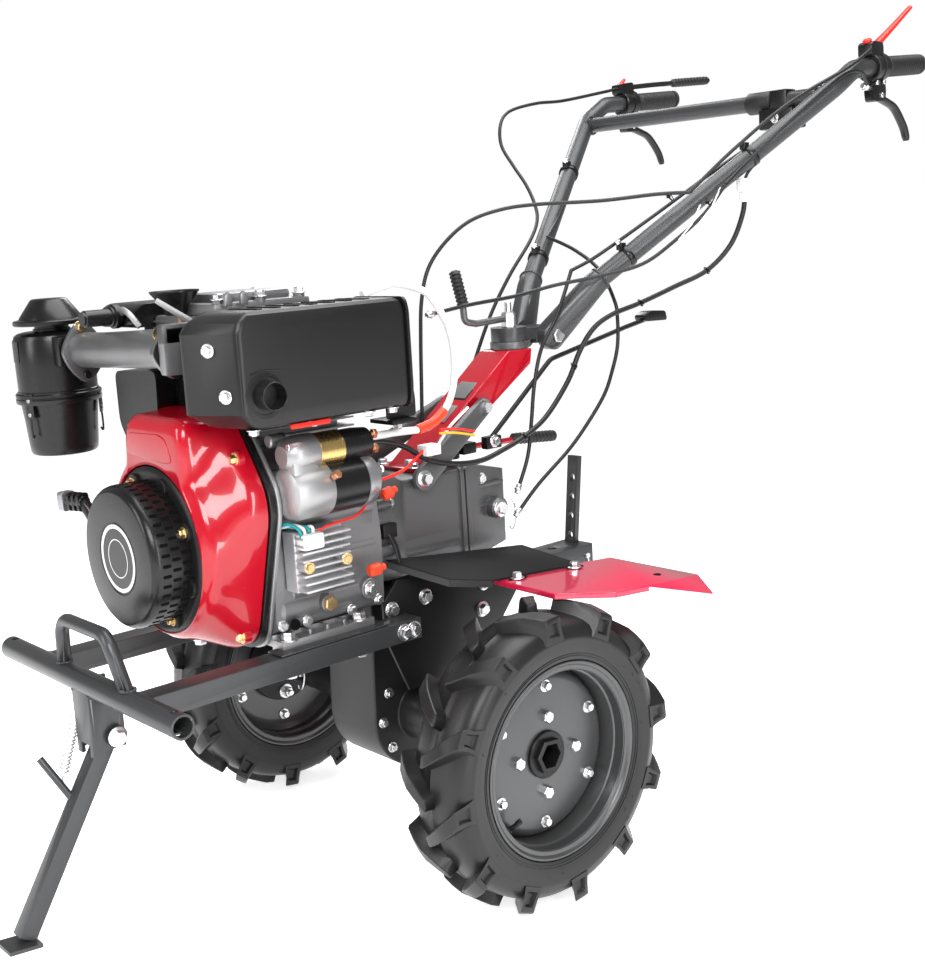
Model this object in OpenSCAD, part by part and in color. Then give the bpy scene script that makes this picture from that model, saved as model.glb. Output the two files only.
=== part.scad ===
// Two-wheel tractor: a walk-behind diesel cultivator on two lugged tyres,
// with a front stand, an air-cooled engine on two rails and swivelling handlebars.
// World frame: +X forward, +Y the machine's left, +Z up, ground at z = 0 under the axle.
// Most modules draw in the chassis frame (origin on the axle, rails along x) and are
// pitched nose-down by chassis(), as the machine stands when it is parked.

/* [Wheels] */
// Outer radius of the tyre over its lugs
tyre_r = 219; // [215:1:225]
// Section width of the tyre
tyre_w = 108; // [100:1:112]
// Radius of the rim flange
rim_r = 140; // [136:1:142]
// Distance from the middle plane to the middle of each wheel
track_half = 321; // [319:1:326]
// Pitch circle radius of the four hub bolts
hub_bolt_r = 55; // [52:1:60]

/* [Frame] */
// Nose-down pitch of the chassis when parked, in degrees
nose_down = 6.4; // [5.5:0.1:7]
// Half the length of the front cross tube
tube_half = 245; // [220:1:260]
// Outer radius of the front cross tube
tube_r = 16; // [15:0.5:18]
// Distance from the middle plane to the outer face of a rail
rail_out = 148; // [148:1:152]
// Width of a rail
rail_w = 36; // [34:1:36]
// Height of a rail
rail_h = 30; // [25:1:34]

/* [Engine] */
// Height of the crankshaft above the axle
crank_z = 326; // [324:1:328]
// Outer radius of the recoil starter's drum
recoil_r = 97; // [90:1:99]

/* [Handlebar] */
// Outer radius of the handle tubes
handle_r = 16; // [14:0.5:16]
// Half the width between the middles of the hand grips
handle_half = 285; // [280:1:290]
// Length of each hand grip
grip_l = 124; // [110:1:130]

/* [Hidden] */
$fn = 48;
axle_z = tyre_r;
bead_r = rim_r - 13.7;
disc_out = 10;
rail_top = 180;
rail_mid = rail_out - rail_w / 2;
tube_x = 507;
tube_z = 170;
rail_back = 60;
pivot_x = 488;
pivot_z = 97;
pin_r = 6;
foot_x = 622;
base_t = 20;
block_front = 286;
bell_front = 99.9;
gearbox_top = 367;
head_x = -284;
head_z = 532;
bolt_x = -346;
bolt_z = 547;
hitch_x = -395;
outlet_x = 333;
outlet_z = 541;
outlet_r = 17;
fender_t = 2.5;

// Corners of the left fender's plate, its wing and the wing's bent-down tip
fender_edge = [[80, 100, 262], [33, 186, 237], [-24, 215, 228], [-205, 215, 214], [-205, 88, 226]];
wing_edge = [[-42, 198, 223], [-38, 327, 223], [-107, 378, 218], [-177, 378, 212], [-292, 374, 203],
    [-292, 198, 203]];
tip_edge = [[-177, 378, 212], [-292, 402, 179], [-292, 374, 203]];

// Handle: from its socket in the fork to the start of the grip
socket = [-420, 82, 634];
grip_start = [-942, handle_half, 963];
grip_dir = unit([-124, -2, 9]);
handle_route = rounded([socket, [-798, handle_half, 926], grip_start - 92 * grip_dir, grip_start],
    50, 5);
cross_x = -785;
cross_z = 914;

// Middle lines of the cables, from the handlebar to the chassis
throttle_route = [[-590, 212, 775], [-555, 195, 730], [-510, 170, 690], [-455, 145, 655],
    [-390, 108, 640], [-325, 70, 630], [-255, 50, 618], [-155, 50, 612], [-60, 60, 604]];
left_clutch_route = [[-530, 185, 765], [-485, 150, 765], [-420, 90, 760], [-330, 30, 760],
    [-280, 0, 755], [-230, -20, 740], [-185, -30, 710], [-150, -36, 670], [-135, -40, 620],
    [-130, -42, 560], [-125, -42, 480], [-120, -42, 400]];
right_clutch_route = [[-860, -285, 984], [-720, -275, 962], [-640, -270, 955], [-570, -270, 940],
    [-535, -260, 915], [-520, -245, 875], [-520, -215, 835], [-515, -180, 800], [-505, -150, 765],
    [-470, -110, 735], [-420, -80, 700], [-360, -72, 645], [-310, -72, 580], [-265, -72, 500],
    [-225, -70, 420], [-180, -62, 368]];
brake_route = [[-475, -90, 705], [-470, -20, 680], [-465, 40, 645], [-455, 80, 595],
    [-452, 88, 565], [-445, 92, 520], [-425, 96, 480], [-400, 100, 445], [-360, 100, 405],
    [-310, 100, 365], [-240, 98, 320], [-190, 92, 275]];
speed_route = [[-385, 50, 650], [-355, 60, 612], [-325, 68, 575], [-285, 72, 530], [-262, 76, 475],
    [-248, 80, 420], [-232, 84, 365], [-200, 88, 310]];
harness_route = [[-645, 205, 778], [-648, 206, 760], [-650, 200, 725], [-635, 185, 675],
    [-595, 165, 635], [-540, 140, 612], [-475, 120, 590], [-420, 105, 575], [-385, 95, 555],
    [-355, 90, 520], [-325, 90, 475], [-270, 92, 425], [-220, 92, 400], [-170, 92, 385],
    [-125, 92, 376], [-70, 96, 380], [-10, 104, 396], [40, 112, 424], [90, 124, 440],
    [138, 140, 446]];
battery_lead_route = [[76, 84, 645], [30, 82, 655], [5, 82, 655], [-40, 85, 640], [-62, 90, 610],
    [-75, 95, 575], [-75, 100, 530], [-62, 105, 490], [-35, 112, 462], [0, 118, 447],
    [60, 128, 450], [138, 156, 456]];

grey = [0.27, 0.27, 0.29];
dark = [0.12, 0.12, 0.13];
black = [0.06, 0.06, 0.065];
red = [0.78, 0.03, 0.08];
alloy = [0.62, 0.62, 0.63];
cast = [0.42, 0.43, 0.44];
zinc = [0.75, 0.75, 0.77];
rubber = [0.09, 0.09, 0.1];
white = [0.85, 0.85, 0.83];

// Pitches its children about the axle, from the chassis frame to the world
module chassis() {
    translate([0, 0, axle_z])
        rotate([0, nose_down, 0])
            children();
}

// A straight round bar between two points
module bar(a, b, r, fn = 0) {
    v = b - a;
    n = norm(v);
    translate(a)
        rotate([0, acos(v[2] / n), atan2(v[1], v[0])])
            cylinder(h = n, r = r, $fn = fn > 0 ? fn : $fn);
}

// Unit vector along v
function unit(v) = v / norm(v);

// Arc of n steps that rounds the corner at b between a and c
function corner(a, b, c, rad, n) =
    let(u = unit(a - b), w = unit(c - b), half = acos(u * w) / 2, turn = 180 - 2 * half,
        reach = rad / tan(half), o = b + unit(u + w) * rad / sin(half),
        s = b + u * reach - o, e = b + w * reach - o)
    [for (i = [0:n]) o + (s * sin(turn * (1 - i / n)) + e * sin(turn * i / n)) / sin(turn)];

// Route with its corners rounded
function rounded(p, rad, n = 4) =
    [p[0], for (i = [1:len(p) - 2]) each corner(p[i - 1], p[i], p[i + 1], rad, n), p[len(p) - 1]];

// Direction of the route at point i
function along(p, i) = unit(p[min(i + 1, len(p) - 1)] - p[max(i - 1, 0)]);

// Side vectors carried along the route without twist
function sides_of(p) =
    let(t0 = along(p, 0), ref = abs(t0[2]) < 0.9 ? [0, 0, 1] : [1, 0, 0])
    [for (i = 0, n = unit(cross(t0, ref)); i < len(p);
        i = i + 1, n = unit(n - along(p, min(i, len(p) - 1)) * (n * along(p, min(i, len(p) - 1)))))
        n];

// A round rod swept along a route
module rod(p, r, sides = 12) {
    n = sides_of(p);
    last = len(p) - 1;
    points = [for (i = [0:last]) let(t = along(p, i), u = unit(n[i] - t * (n[i] * t)), v = cross(t, u))
        for (k = [0:sides - 1]) p[i] + r * (cos(360 * k / sides) * u + sin(360 * k / sides) * v)];
    faces = concat(
        [[for (k = [0:sides - 1]) k]],
        [for (i = [0:last - 1], k = [0:sides - 1])
            let(a = i * sides + k, b = i * sides + (k + 1) % sides)
            each [[a, b + sides, b], [a, a + sides, b + sides]]],
        [[for (k = [sides - 1:-1:0]) last * sides + k]]);
    polyhedron(points = points, faces = faces);
}

// A box given by its low and high corners
module box(lo, hi) {
    translate(lo)
        cube(hi - lo);
}

// A round hole or pin along y, from y = a to y = b, through the point (x, z)
module along_y(x, z, a, b, r, fn = 0) {
    translate([x, a, z])
        rotate([-90, 0, 0])
            cylinder(h = b - a, r = r, $fn = fn > 0 ? fn : $fn);
}

// A round body along x, from x = a to x = b, about the point (y, z)
module along_x(a, b, y, z, r, fn = 0) {
    translate([a, y, z])
        rotate([0, 90, 0])
            cylinder(h = b - a, r = r, $fn = fn > 0 ? fn : $fn);
}

// Draws its children on the left and mirrored on the right
module both_sides() {
    for (side = [0, 1])
        mirror([0, side, 0])
            children();
}

// A thin plate with its top face on the given corners, listed clockwise from above
module sheet(p, t) {
    n = len(p);
    polyhedron(
        points = concat(p, [for (q = p) q - [0, 0, t]]),
        faces = concat(
            [for (i = [1:n - 2]) [0, i, i + 1]],
            [for (i = [1:n - 2]) [n, n + i + 1, n + i]],
            [for (i = [0:n - 1]) let(j = (i + 1) % n) each [[i, i + n, j], [j, i + n, j + n]]]));
}

// Chassis coordinates of a point given in the world frame
function from_world(p) = [p[0] * cos(nose_down) - (p[2] - axle_z) * sin(nose_down), p[1],
    p[0] * sin(nose_down) + (p[2] - axle_z) * cos(nose_down)];

// ---- wheels: drawn about the origin, outer side towards +y ----

module tyre_shape() {
    // casing with flat shoulders at the height of the lugs
    half = tyre_w / 2;
    rotate([90, 0, 0])
        rotate_extrude($fn = 96)
            polygon([[bead_r, -44.7], [rim_r + 1, -44.7], [rim_r + 10, -50], [rim_r + 30, -half],
                [tyre_r - 26, -half], [tyre_r - 4, 10 - half], [tyre_r, 0], [tyre_r - 4, half - 10],
                [tyre_r - 26, half], [rim_r + 30, half], [rim_r + 10, 50], [rim_r + 1, 44.7],
                [bead_r, 44.7]]);
}

module rim_shape() {
    barrel = bead_r - 0.3;
    difference() {
        union() {
            // barrel with its two flanges
            rotate([-90, 0, 0])
                rotate_extrude($fn = 96)
                    polygon([[barrel - 3, -49], [rim_r, -49], [rim_r, -45], [barrel, -45],
                        [barrel, 45], [rim_r, 45], [rim_r, 49], [barrel - 3, 49]]);
            // dished disc, its middle pushed outwards
            rotate([-90, 0, 0])
                rotate_extrude($fn = 96)
                    polygon([[30, disc_out], [108, disc_out], [barrel - 2.5, 2], [barrel - 2.5, -4],
                        [106, disc_out - 6], [30, disc_out - 6]]);
        }
        hub_bolts(5.5);
    }
}

// The four bolts that hold a rim to its hub
module hub_bolts(r) {
    for (i = [0:3])
        rotate([0, 3 + i * 90, 0])
            along_y(hub_bolt_r, 0, -20, 30, r, 24);
}

module hub_shape(inner) {
    ring = disc_out - 6.3;
    difference() {
        union() {
            // hexagon sleeve, its outer ring and the flange behind the disc
            along_y(0, 0, -inner, disc_out, 27);
            along_y(0, 0, 0, disc_out + 4, 29.7);
            along_y(0, 0, ring - 8, ring, 70);
        }
        translate([0, -30, 0])
            rotate([-90, 30, 0])
                cylinder(h = 60, d = 32 / cos(30), $fn = 6);
        hub_bolts(5);
    }
}

// Moves a wheel shape to one side of the machine; side is 1 (left) or -1 (right)
module at_wheel(side) {
    translate([0, side * track_half, axle_z])
        mirror([0, side > 0 ? 0 : 1, 0])
            children();
}

module left_tyre() {
    color(rubber) at_wheel(1) tyre_shape();
}

module right_tyre() {
    color(rubber) at_wheel(-1) tyre_shape();
}

module left_rim() {
    color(grey) at_wheel(1) rim_shape();
}

module right_rim() {
    color(grey) at_wheel(-1) rim_shape();
}

module left_hub() {
    color(black) at_wheel(1) hub_shape(190);
}

module right_hub() {
    color(black) at_wheel(-1) hub_shape(190);
}

// ---- front frame ----

module front_cross_tube() {
    color(grey) chassis() {
        difference() {
            along_y(tube_x, tube_z, -tube_half, tube_half, tube_r);
            along_y(tube_x, tube_z, -tube_half - 1, tube_half + 1, tube_r - 3);
            for (s = [-1, 1])
                translate([tube_x, s * (tube_half - 17), tube_z - 40])
                    cylinder(h = 80, r = 5, $fn = 24);
        }
    }
}

// Round bar bent over the cross tube
module grab_hoop() {
    color(grey) chassis()
        difference() {
            rod(rounded([[tube_x, -68, tube_z + 6], [tube_x, -64, 248], [tube_x, 66, 248],
                [tube_x, 112, tube_z + 6]], 26, 5), 9.5, 16);
            along_y(tube_x, tube_z, -tube_half, tube_half, tube_r + 0.05);
        }
}

module rail(side) {
    difference() {
        box([rail_back, side * rail_mid - rail_w / 2, rail_top - rail_h],
            [tube_x, side * rail_mid + rail_w / 2, rail_top]);
        box([rail_back - 1, side * rail_mid - rail_w / 2 + 3, rail_top - rail_h + 3],
            [tube_x - tube_r - 8, side * rail_mid + rail_w / 2 - 3, rail_top - 3]);
        along_y(tube_x, tube_z, -tube_half, tube_half, tube_r + 0.05);
    }
}

module left_rail() {
    color(grey) chassis() rail(1);
}

module right_rail() {
    color(grey) chassis() rail(-1);
}

module stand_bracket() {
    color(grey) chassis()
        difference() {
            union() {
                box([516, -24, 74], [521, 22, tube_z]);
                for (y = [-24, 17])
                    box([474, y, 80], [520, y + 5, tube_z]);
            }
            along_y(tube_x, tube_z, -50, 50, tube_r + 0.05);
            along_y(pivot_x, pivot_z, -50, 50, pin_r + 0.05, 32);
            box([515, -12.5, 60], [530, 12.5, 90]);
        }
}

// Square leg on its pivot pin, with the foot plate and the kick rod
module stand() {
    end = from_world([foot_x - 8, 0, 8]);
    leg = end - [pivot_x, 0, pivot_z];
    color(grey) {
        chassis() {
            translate([pivot_x, 0, pivot_z])
                rotate([0, atan2(leg[0], leg[2]), 0])
                    translate([-11.5, -11.5, -10])
                        cube([23, 23, norm(leg) + 10]);
            along_y(pivot_x, pivot_z, -32, 28, pin_r, 32);
            bar([543, -8, 15], [570, -38, 74], 5, 24);
        }
        translate([foot_x - 22, -18, 0])
            cube([44, 44, 5]);
    }
}

module stand_spring() {
    color(zinc) chassis()
        bar([512, -33, 128], [545, -31, 40], 6, 24);
}

// ---- engine ----

module engine_base() {
    color(alloy) chassis()
        difference() {
            union() {
                both_sides()
                    box([130, 104, rail_top], [block_front, 130, rail_top + 14]);
                box([130, -106, rail_top + 4], [block_front, 106, rail_top + base_t]);
            }
            for (x = [150, 270], s = [-1, 1])
                translate([x, s * 120, rail_top - 1])
                    cylinder(h = 30, r = 5.5, $fn = 24);
        }
}

// Crankcase, cylinder and sump as the one heavy mass that they are
module engine_block() {
    color(alloy) chassis() {
        along_x(bell_front + 0.4, block_front, 0, crank_z, 120);
        box([bell_front + 0.4, -112, rail_top + base_t + 0.3], [block_front, 122, crank_z + 60]);
        box([110, -90, crank_z + 50], [280, 90, 600]);
    }
}

// Aluminium plate and black gasket band behind the cowling
module fan_housing_plate() {
    color(dark) chassis()
        translate([block_front + 0.2, 0, 0])
            rotate([90, 0, 90])
                linear_extrude(16)
                    cowl_outline(6);
}

// Outline of the cowling seen along x
module cowl_outline(grow) {
    offset(r = 12 + grow)
        offset(r = -12)
            polygon([[-82, 184], [96, 184], [158, 395], [100, 480], [60, 540],
                [-70, 540], [-100, 500], [-158, 400]]);
}

module fan_cowling() {
    color(red) chassis()
        difference() {
            hull() {
                translate([block_front + 16.5, 0, 0])
                    rotate([90, 0, 90])
                        linear_extrude(20)
                            cowl_outline(0);
                along_x(372, 388, 0, crank_z + 6, 132, 64);
                // flat front panel under the muffler
                box([330, -58, 420], [376, 84, 508]);
            }
            along_x(330, 430, 0, crank_z, 116, 64);
        }
}

module recoil_starter() {
    color(black) chassis() {
        along_x(331, 391, 0, crank_z, 115.5, 64);
        along_x(390, 447, 0, crank_z, recoil_r, 64);
        // rope guide and its pull handle
        hull() {
            along_x(400.5, 426, -106, 376, 20, 24);
            along_x(400.5, 432, -60, 360, 40, 24);
        }
        bar([418, -104, 378], [452, -160, 376], 9, 24);
    }
}

module cylinder_head() {
    color(alloy) chassis() {
        box([130, -90, 600.3], [310, 70, 640]);
        // intake port beside the muffler
        box([290, 60, 600.3], [333, 93.6, 632]);
        box([312, 74.3, 566], [400, 93.6, 632]);
        hull() {
            box([150, -70, 640], [300, 60, 650]);
            box([170, -50, 650], [280, 40, 662]);
        }
    }
}

module muffler() {
    color(dark) chassis() {
        difference() {
            hull() {
                // body with its front corner cut back to the outer side
                translate([0, 0, 520])
                    linear_extrude(100)
                        polygon([[104, 94], [368, 94], [400, 130], [402, 140], [366, 214], [104, 214]]);
                translate([0, 0, 498])
                    linear_extrude(147)
                        polygon([[104, 106], [360, 106], [368, 140], [350, 202], [104, 202]]);
            }
            along_y(outlet_x, outlet_z, 190, 230, outlet_r + 4);
        }
        difference() {
            along_y(outlet_x, outlet_z, 185, 236, outlet_r + 1.5);
            along_y(outlet_x, outlet_z, 191, 240, outlet_r);
        }
    }
}

module intake_elbow() {
    color(cast) chassis() {
        bar([372, 66, 598], [340, -256, 584], 26);
        box([334, 64, 566], [410, 74, 630]);
        box([300, -272, 538], [376, -262, 630]);
        box([318, -262.1, 560], [362, -255, 608]);
    }
}

module air_cleaner() {
    color(black) chassis() {
        // bowl, clamp collar, body, neck and rain cap
        translate([346, -346, 0])
            rotate_extrude($fn = 48)
                polygon([[0, 425], [50, 425], [56, 506], [64, 506], [64, 520], [60, 520],
                    [60, 612], [24, 612], [24, 624], [52, 624], [52, 628], [46, 628],
                    [26, 660], [0, 660]]);
        box([326, -300, 560], [370, -272.3, 608]);
    }
}

// Air duct above the elbow and the guard on the right of the cylinder
module air_duct() {
    color(black) chassis() {
        hull() {
            box([215, -200, 620], [362, -90.4, 640]);
            box([235, -185, 620], [348, -90.4, 656]);
        }
        along_x(350, 402, -128, 638, 12, 32);
        box([150, -180, 440], [280, -90.4, 598]);
        box([215, -180, 590], [280, -92, 620]);
    }
}

module starter_motor() {
    color(black) chassis() {
        along_x(146, 275, 162, 402, 37);
        along_x(140, 270, 164, 452, 24);
        // flange to the fan housing and clamp to the block
        hull() {
            along_x(262, block_front, 162, 402, 37);
            along_x(262, block_front, 164, 452, 26);
        }
        box([190, 122.2, 384], [230, 140, 460]);
    }
}

module voltage_regulator() {
    color(alloy) chassis()
        box([188, 122.3, 262], [268, 172, 345]);
}

// ---- transmission ----

module gearbox() {
    color(cast) chassis() {
        box([-100, -72, 222], [30, 76, gearbox_top]);
        hull() {
            box([20, -72, 222], [30, 76, gearbox_top]);
            along_x(72, bell_front, 2, 312, 106, 32);
        }
    }
}

module gearbox_rear_cover() {
    color(cast) chassis() {
        hull() {
            box([-120, -72, 222], [-100.3, 76, gearbox_top]);
            box([-196, -58, 232], [-190, 62, 350]);
        }
        along_y(-165, 293, 60, 85, 17);
    }
}

module final_drive_case() {
    color(dark) chassis() {
        hull() {
            along_y(0, 0, -58, 58, 88);
            box([-70, -58, 150], [80, 58, 204]);
        }
        along_y(0, 0, -125, 125, 44);
    }
}

module mount_plates() {
    color(black) chassis()
        both_sides()
            translate([0, 112, 0])
                rotate([90, 0, 0])
                    linear_extrude(6)
                        polygon([[98, 150], [98, 204], [70, 232], [-150, 208], [-190, 190],
                            [-120, 110], [0, 60], [60, 60]]);
}

module handlebar_column() {
    // slanted box beam with a flat top for the swivel
    color(red) chassis()
        translate([0, 34, 0])
            rotate([90, 0, 0])
                linear_extrude(68)
                    polygon([[-36, gearbox_top + 0.3], [-245, 527], [-250, 530], [-302, 530],
                        [-298, 505], [-206, 446], [-100, gearbox_top + 0.3]]);
}

module column_struts() {
    color(cast) chassis()
        both_sides() {
            hull() {
                along_y(-10, 367, 85, 93, 18, 24);
                along_y(-176, 450, 42, 50, 14, 24);
            }
            along_y(-176, 450, 34.3, 44, 8, 24);
            along_y(-10, 367, 76.3, 86, 11, 24);
        }
}

module swivel_plate() {
    color(cast) chassis()
        translate([head_x, 0, 530.3])
            cylinder(h = 12, r = 32);
}

module clamp_lever() {
    color(zinc) chassis() {
        translate([head_x, 0, 566])
            cylinder(h = 24, r = 12);
        rod(rounded([[head_x + 6, 0, 580], [head_x + 72, 0, 577], [head_x + 96, 0, 582],
            [head_x + 98, 0, 612]], 12), 5.5);
        bar([head_x + 97, 0, 606], [head_x + 113, 0, 666], 10, 24);
    }
}

module shift_lever() {
    color(black) chassis() {
        bar([-150, 0, 381], [-280, 0, 379], 5, 24);
        bar([-276, 0, 380], [-380, 0, 371], 10, 24);
        // upright stub that the rod turns on
        translate([-145, 0, gearbox_top + 0.3])
            cylinder(h = 20, r = 12);
    }
}

module selector_lever() {
    color(black) chassis() {
        rod(rounded([[-180, 56, 400], [-320, 57, 510], [-500, 58, 545], [-590, 58, 560]], 20), 4);
        box([-600, 46, 556], [-545, 70, 566]);
    }
}

module depth_bar() {
    color(dark)
        difference() {
            box([hitch_x - 5, -20, 412], [hitch_x + 5, 4, 592]);
            for (i = [0:3])
                along_x(hitch_x - 20, hitch_x + 20, -8, 452 + i * 34, 6.5, 24);
        }
}

module hitch_holder() {
    color(dark)
        difference() {
            union() {
                box([hitch_x - 14, -34, 376], [hitch_x + 14, 20, 436]);
                chassis()
                    box([-430, -30, 140], [-76.3, 30, 175]);
            }
            box([hitch_x - 5.4, -20.4, 300], [hitch_x + 5.4, 4.4, 500]);
            // hole for the pin of a drawbar
            chassis()
                translate([-360, 0, 130])
                    cylinder(h = 60, r = 8);
        }
}

module left_fender() {
    color(black) chassis() fender_plate();
}

module right_fender() {
    color(black) chassis() mirror([0, 1, 0]) fender_plate();
}

module fender_plate() {
    sheet(fender_edge, fender_t);
}

module fender_wing() {
    sheet(wing_edge, fender_t);
    sheet(tip_edge, fender_t);
}

module left_fender_wing() {
    color(red) chassis() fender_wing();
}

module right_fender_wing() {
    color(red) chassis() mirror([0, 1, 0]) fender_wing();
}

// ---- handlebar ----

module handlebar_fork() {
    dir = unit(handle_route[1] - socket);
    color(dark) chassis() {
        translate([head_x, 0, 542.6])
            cylinder(h = 23, r = 30);
        box([-372, -26, 536], [-320, 26, 562]);
        box([-322, -26, 543], [-290, 26, 562]);
        both_sides() {
            hull() {
                along_y(bolt_x, bolt_z, 26, 44, 24, 24);
                bar(socket - 24 * dir, socket, 19, 24);
            }
        }
    }
}

module handle_tube() {
    difference() {
        rod(handle_route, handle_r, 24);
        fork_end();
    }
}

// Everything ahead of the plane where a handle leaves the fork
module fork_end() {
    dir = unit(handle_route[1] - socket);
    bar(socket - 60 * dir, socket + 0.3 * dir, 40);
}

module left_handle() {
    color(grey) chassis() handle_tube();
}

module right_handle() {
    color(grey) chassis() mirror([0, 1, 0]) handle_tube();
}

module handle_crossbar() {
    color(grey) chassis()
        difference() {
            along_y(cross_x, cross_z, 8 - handle_half, handle_half - 8, 14);
            both_sides()
                rod(handle_route, handle_r + 0.2, 24);
        }
}

module hand_grips() {
    color(black) chassis()
        both_sides()
            bar(grip_start + 0.3 * grip_dir, grip_start + grip_l * grip_dir, 18, 32);
}

module controls() {
    // clamp round the tube just ahead of the grip
    difference() {
        union() {
            bar(grip_start - 44 * grip_dir, grip_start - 6 * grip_dir, handle_r + 8, 32);
            box([-938, handle_half - 12, 905], [-904, handle_half + 10, 950]);
        }
        bar(grip_start - 60 * grip_dir, grip_start + 10 * grip_dir, handle_r + 0.3, 32);
    }
    // brake lever
    rod(rounded([[-925, handle_half, 912], [-982, handle_half, 893], [-1010, handle_half, 864],
        [-1022, handle_half, 838]], 14), 6);
}

module left_controls() {
    color(black) chassis() {
        controls();
        box([-925, handle_half - 14, 978], [-890, handle_half + 14, 1002]);
    }
    color(red) chassis()
        bar([-905, handle_half, 990], [-1033, handle_half, 1068], 5, 24);
}

module right_controls() {
    color(black) chassis()
        mirror([0, 1, 0]) {
            controls();
            // long clutch lever above the grip
            box([-925, handle_half - 14, 978], [-890, handle_half + 14, 1000]);
            rod(rounded([[-915, handle_half, 992], [-1000, handle_half, 1000],
                [-1185, handle_half, 1014]], 30), 5);
        }
}

module control_cables() {
    color(black) chassis()
        for (route = [throttle_route, left_clutch_route, right_clutch_route, brake_route,
            speed_route])
            rod(route, 3, 8);
}

module wiring_harness() {
    color(black) chassis()
        rod(harness_route, 4, 8);
    color(white) chassis()
        rod(battery_lead_route, 5.5, 8);
}

front_cross_tube();
grab_hoop();
left_rail();
right_rail();
stand_bracket();
stand();
stand_spring();
engine_base();
engine_block();
fan_housing_plate();
fan_cowling();
recoil_starter();
cylinder_head();
muffler();
intake_elbow();
air_cleaner();
air_duct();
starter_motor();
voltage_regulator();
gearbox();
gearbox_rear_cover();
final_drive_case();
mount_plates();
handlebar_column();
column_struts();
swivel_plate();
clamp_lever();
shift_lever();
selector_lever();
depth_bar();
hitch_holder();
left_fender();
right_fender();
left_fender_wing();
right_fender_wing();
left_tyre();
left_rim();
left_hub();
right_tyre();
right_rim();
right_hub();
handlebar_fork();
left_handle();
right_handle();
handle_crossbar();
hand_grips();
left_controls();
right_controls();
control_cables();
wiring_harness();
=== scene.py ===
# Looks of the two-wheel tractor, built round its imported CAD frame.
# Pieces are drawn in millimetres in the chassis frame (origin on the axle, rails along x,
# pitched nose-down), in a wheel's frame (origin at its middle, outer side +y) or in the
# world frame, and are put into metres when they are finished.
import math
import random
from math import cos, pi, radians, sin, tau

import bmesh
import bpy
import numpy as np
from mathutils import Matrix, Vector


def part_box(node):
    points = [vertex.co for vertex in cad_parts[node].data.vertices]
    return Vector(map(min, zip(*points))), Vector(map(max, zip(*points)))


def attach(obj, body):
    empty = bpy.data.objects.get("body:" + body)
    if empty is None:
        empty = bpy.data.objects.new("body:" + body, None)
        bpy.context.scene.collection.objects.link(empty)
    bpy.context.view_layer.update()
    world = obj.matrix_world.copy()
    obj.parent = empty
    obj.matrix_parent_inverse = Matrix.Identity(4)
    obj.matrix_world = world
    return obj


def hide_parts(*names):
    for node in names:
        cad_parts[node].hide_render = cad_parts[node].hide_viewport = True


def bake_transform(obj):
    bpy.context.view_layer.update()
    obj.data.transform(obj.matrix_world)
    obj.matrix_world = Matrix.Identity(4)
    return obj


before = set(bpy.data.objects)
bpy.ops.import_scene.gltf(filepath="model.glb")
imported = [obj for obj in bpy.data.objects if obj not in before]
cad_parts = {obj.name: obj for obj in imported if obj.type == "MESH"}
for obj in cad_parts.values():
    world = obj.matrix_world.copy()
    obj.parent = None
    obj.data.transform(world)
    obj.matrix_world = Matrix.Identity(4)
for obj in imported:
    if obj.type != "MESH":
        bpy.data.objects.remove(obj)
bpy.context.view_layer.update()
rng = random.Random(7)

MM = 0.001
NOSE_DOWN = radians(6.4)
tyre_low, tyre_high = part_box("left_tyre")
AXLE_Z = (tyre_low.z + tyre_high.z) / 2
TRACK = (tyre_low.y + tyre_high.y) / 2
CRANK_Z = 326
RECOIL_R = 97
HANDLE_HALF = 285
RAIL_TOP = 180
CLEANER_X, CLEANER_Y, CLEANER_R = 346, -346, 60
OUTLET_X, OUTLET_Z = 333, 541

ORIGIN, X, Y, Z = (0, 0, 0), (1, 0, 0), (0, 1, 0), (0, 0, 1)
WORLD = Matrix.Scale(MM, 4)
CHASSIS = Matrix.Translation((0, 0, AXLE_Z)) @ Matrix.Rotation(NOSE_DOWN, 4, "Y") @ WORLD


def wheel_space(side):
    """Wheel frame to world: side is 1 for left and -1 for right."""
    flip = Matrix.Diagonal((1, side, 1, 1))
    return Matrix.Translation((0, side * TRACK, AXLE_Z)) @ flip @ WORLD


# ---- camera, light and floor ----

def look():
    """Camera at the front left, level with the engine, rolled a little."""
    azimuth, elevation, roll = radians(138.34), radians(6.45), radians(1.48)
    back = Vector((sin(azimuth) * cos(elevation), -cos(azimuth) * cos(elevation),
                   sin(elevation)))
    right = Vector((cos(azimuth), sin(azimuth), 0))
    up = back.cross(right)
    right, up = (right * cos(roll) + up * sin(roll),
                 up * cos(roll) - right * sin(roll))
    data = bpy.data.cameras.new("camera")
    data.lens = 51.8
    data.sensor_width = 36
    data.sensor_fit = "HORIZONTAL"
    camera = bpy.data.objects.new("camera", data)
    place = Matrix((right, up, back)).transposed().to_4x4()
    camera.matrix_world = Matrix.Translation((1.29685, 1.5995, 0.80642)) @ place
    bpy.context.scene.collection.objects.link(camera)
    bpy.context.scene.camera = camera


def area_light(name, place, target, size, power):
    """Rectangular lamp aimed at a target; size in metres, power in watts."""
    data = bpy.data.lights.new(name, "AREA")
    data.shape = "RECTANGLE"
    data.size, data.size_y = size
    data.energy = power
    lamp = bpy.data.objects.new(name, data)
    lamp.location = place
    lamp.rotation_euler = (Vector(target) - Vector(place)).to_track_quat("-Z", "Y").to_euler()
    bpy.context.scene.collection.objects.link(lamp)


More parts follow.
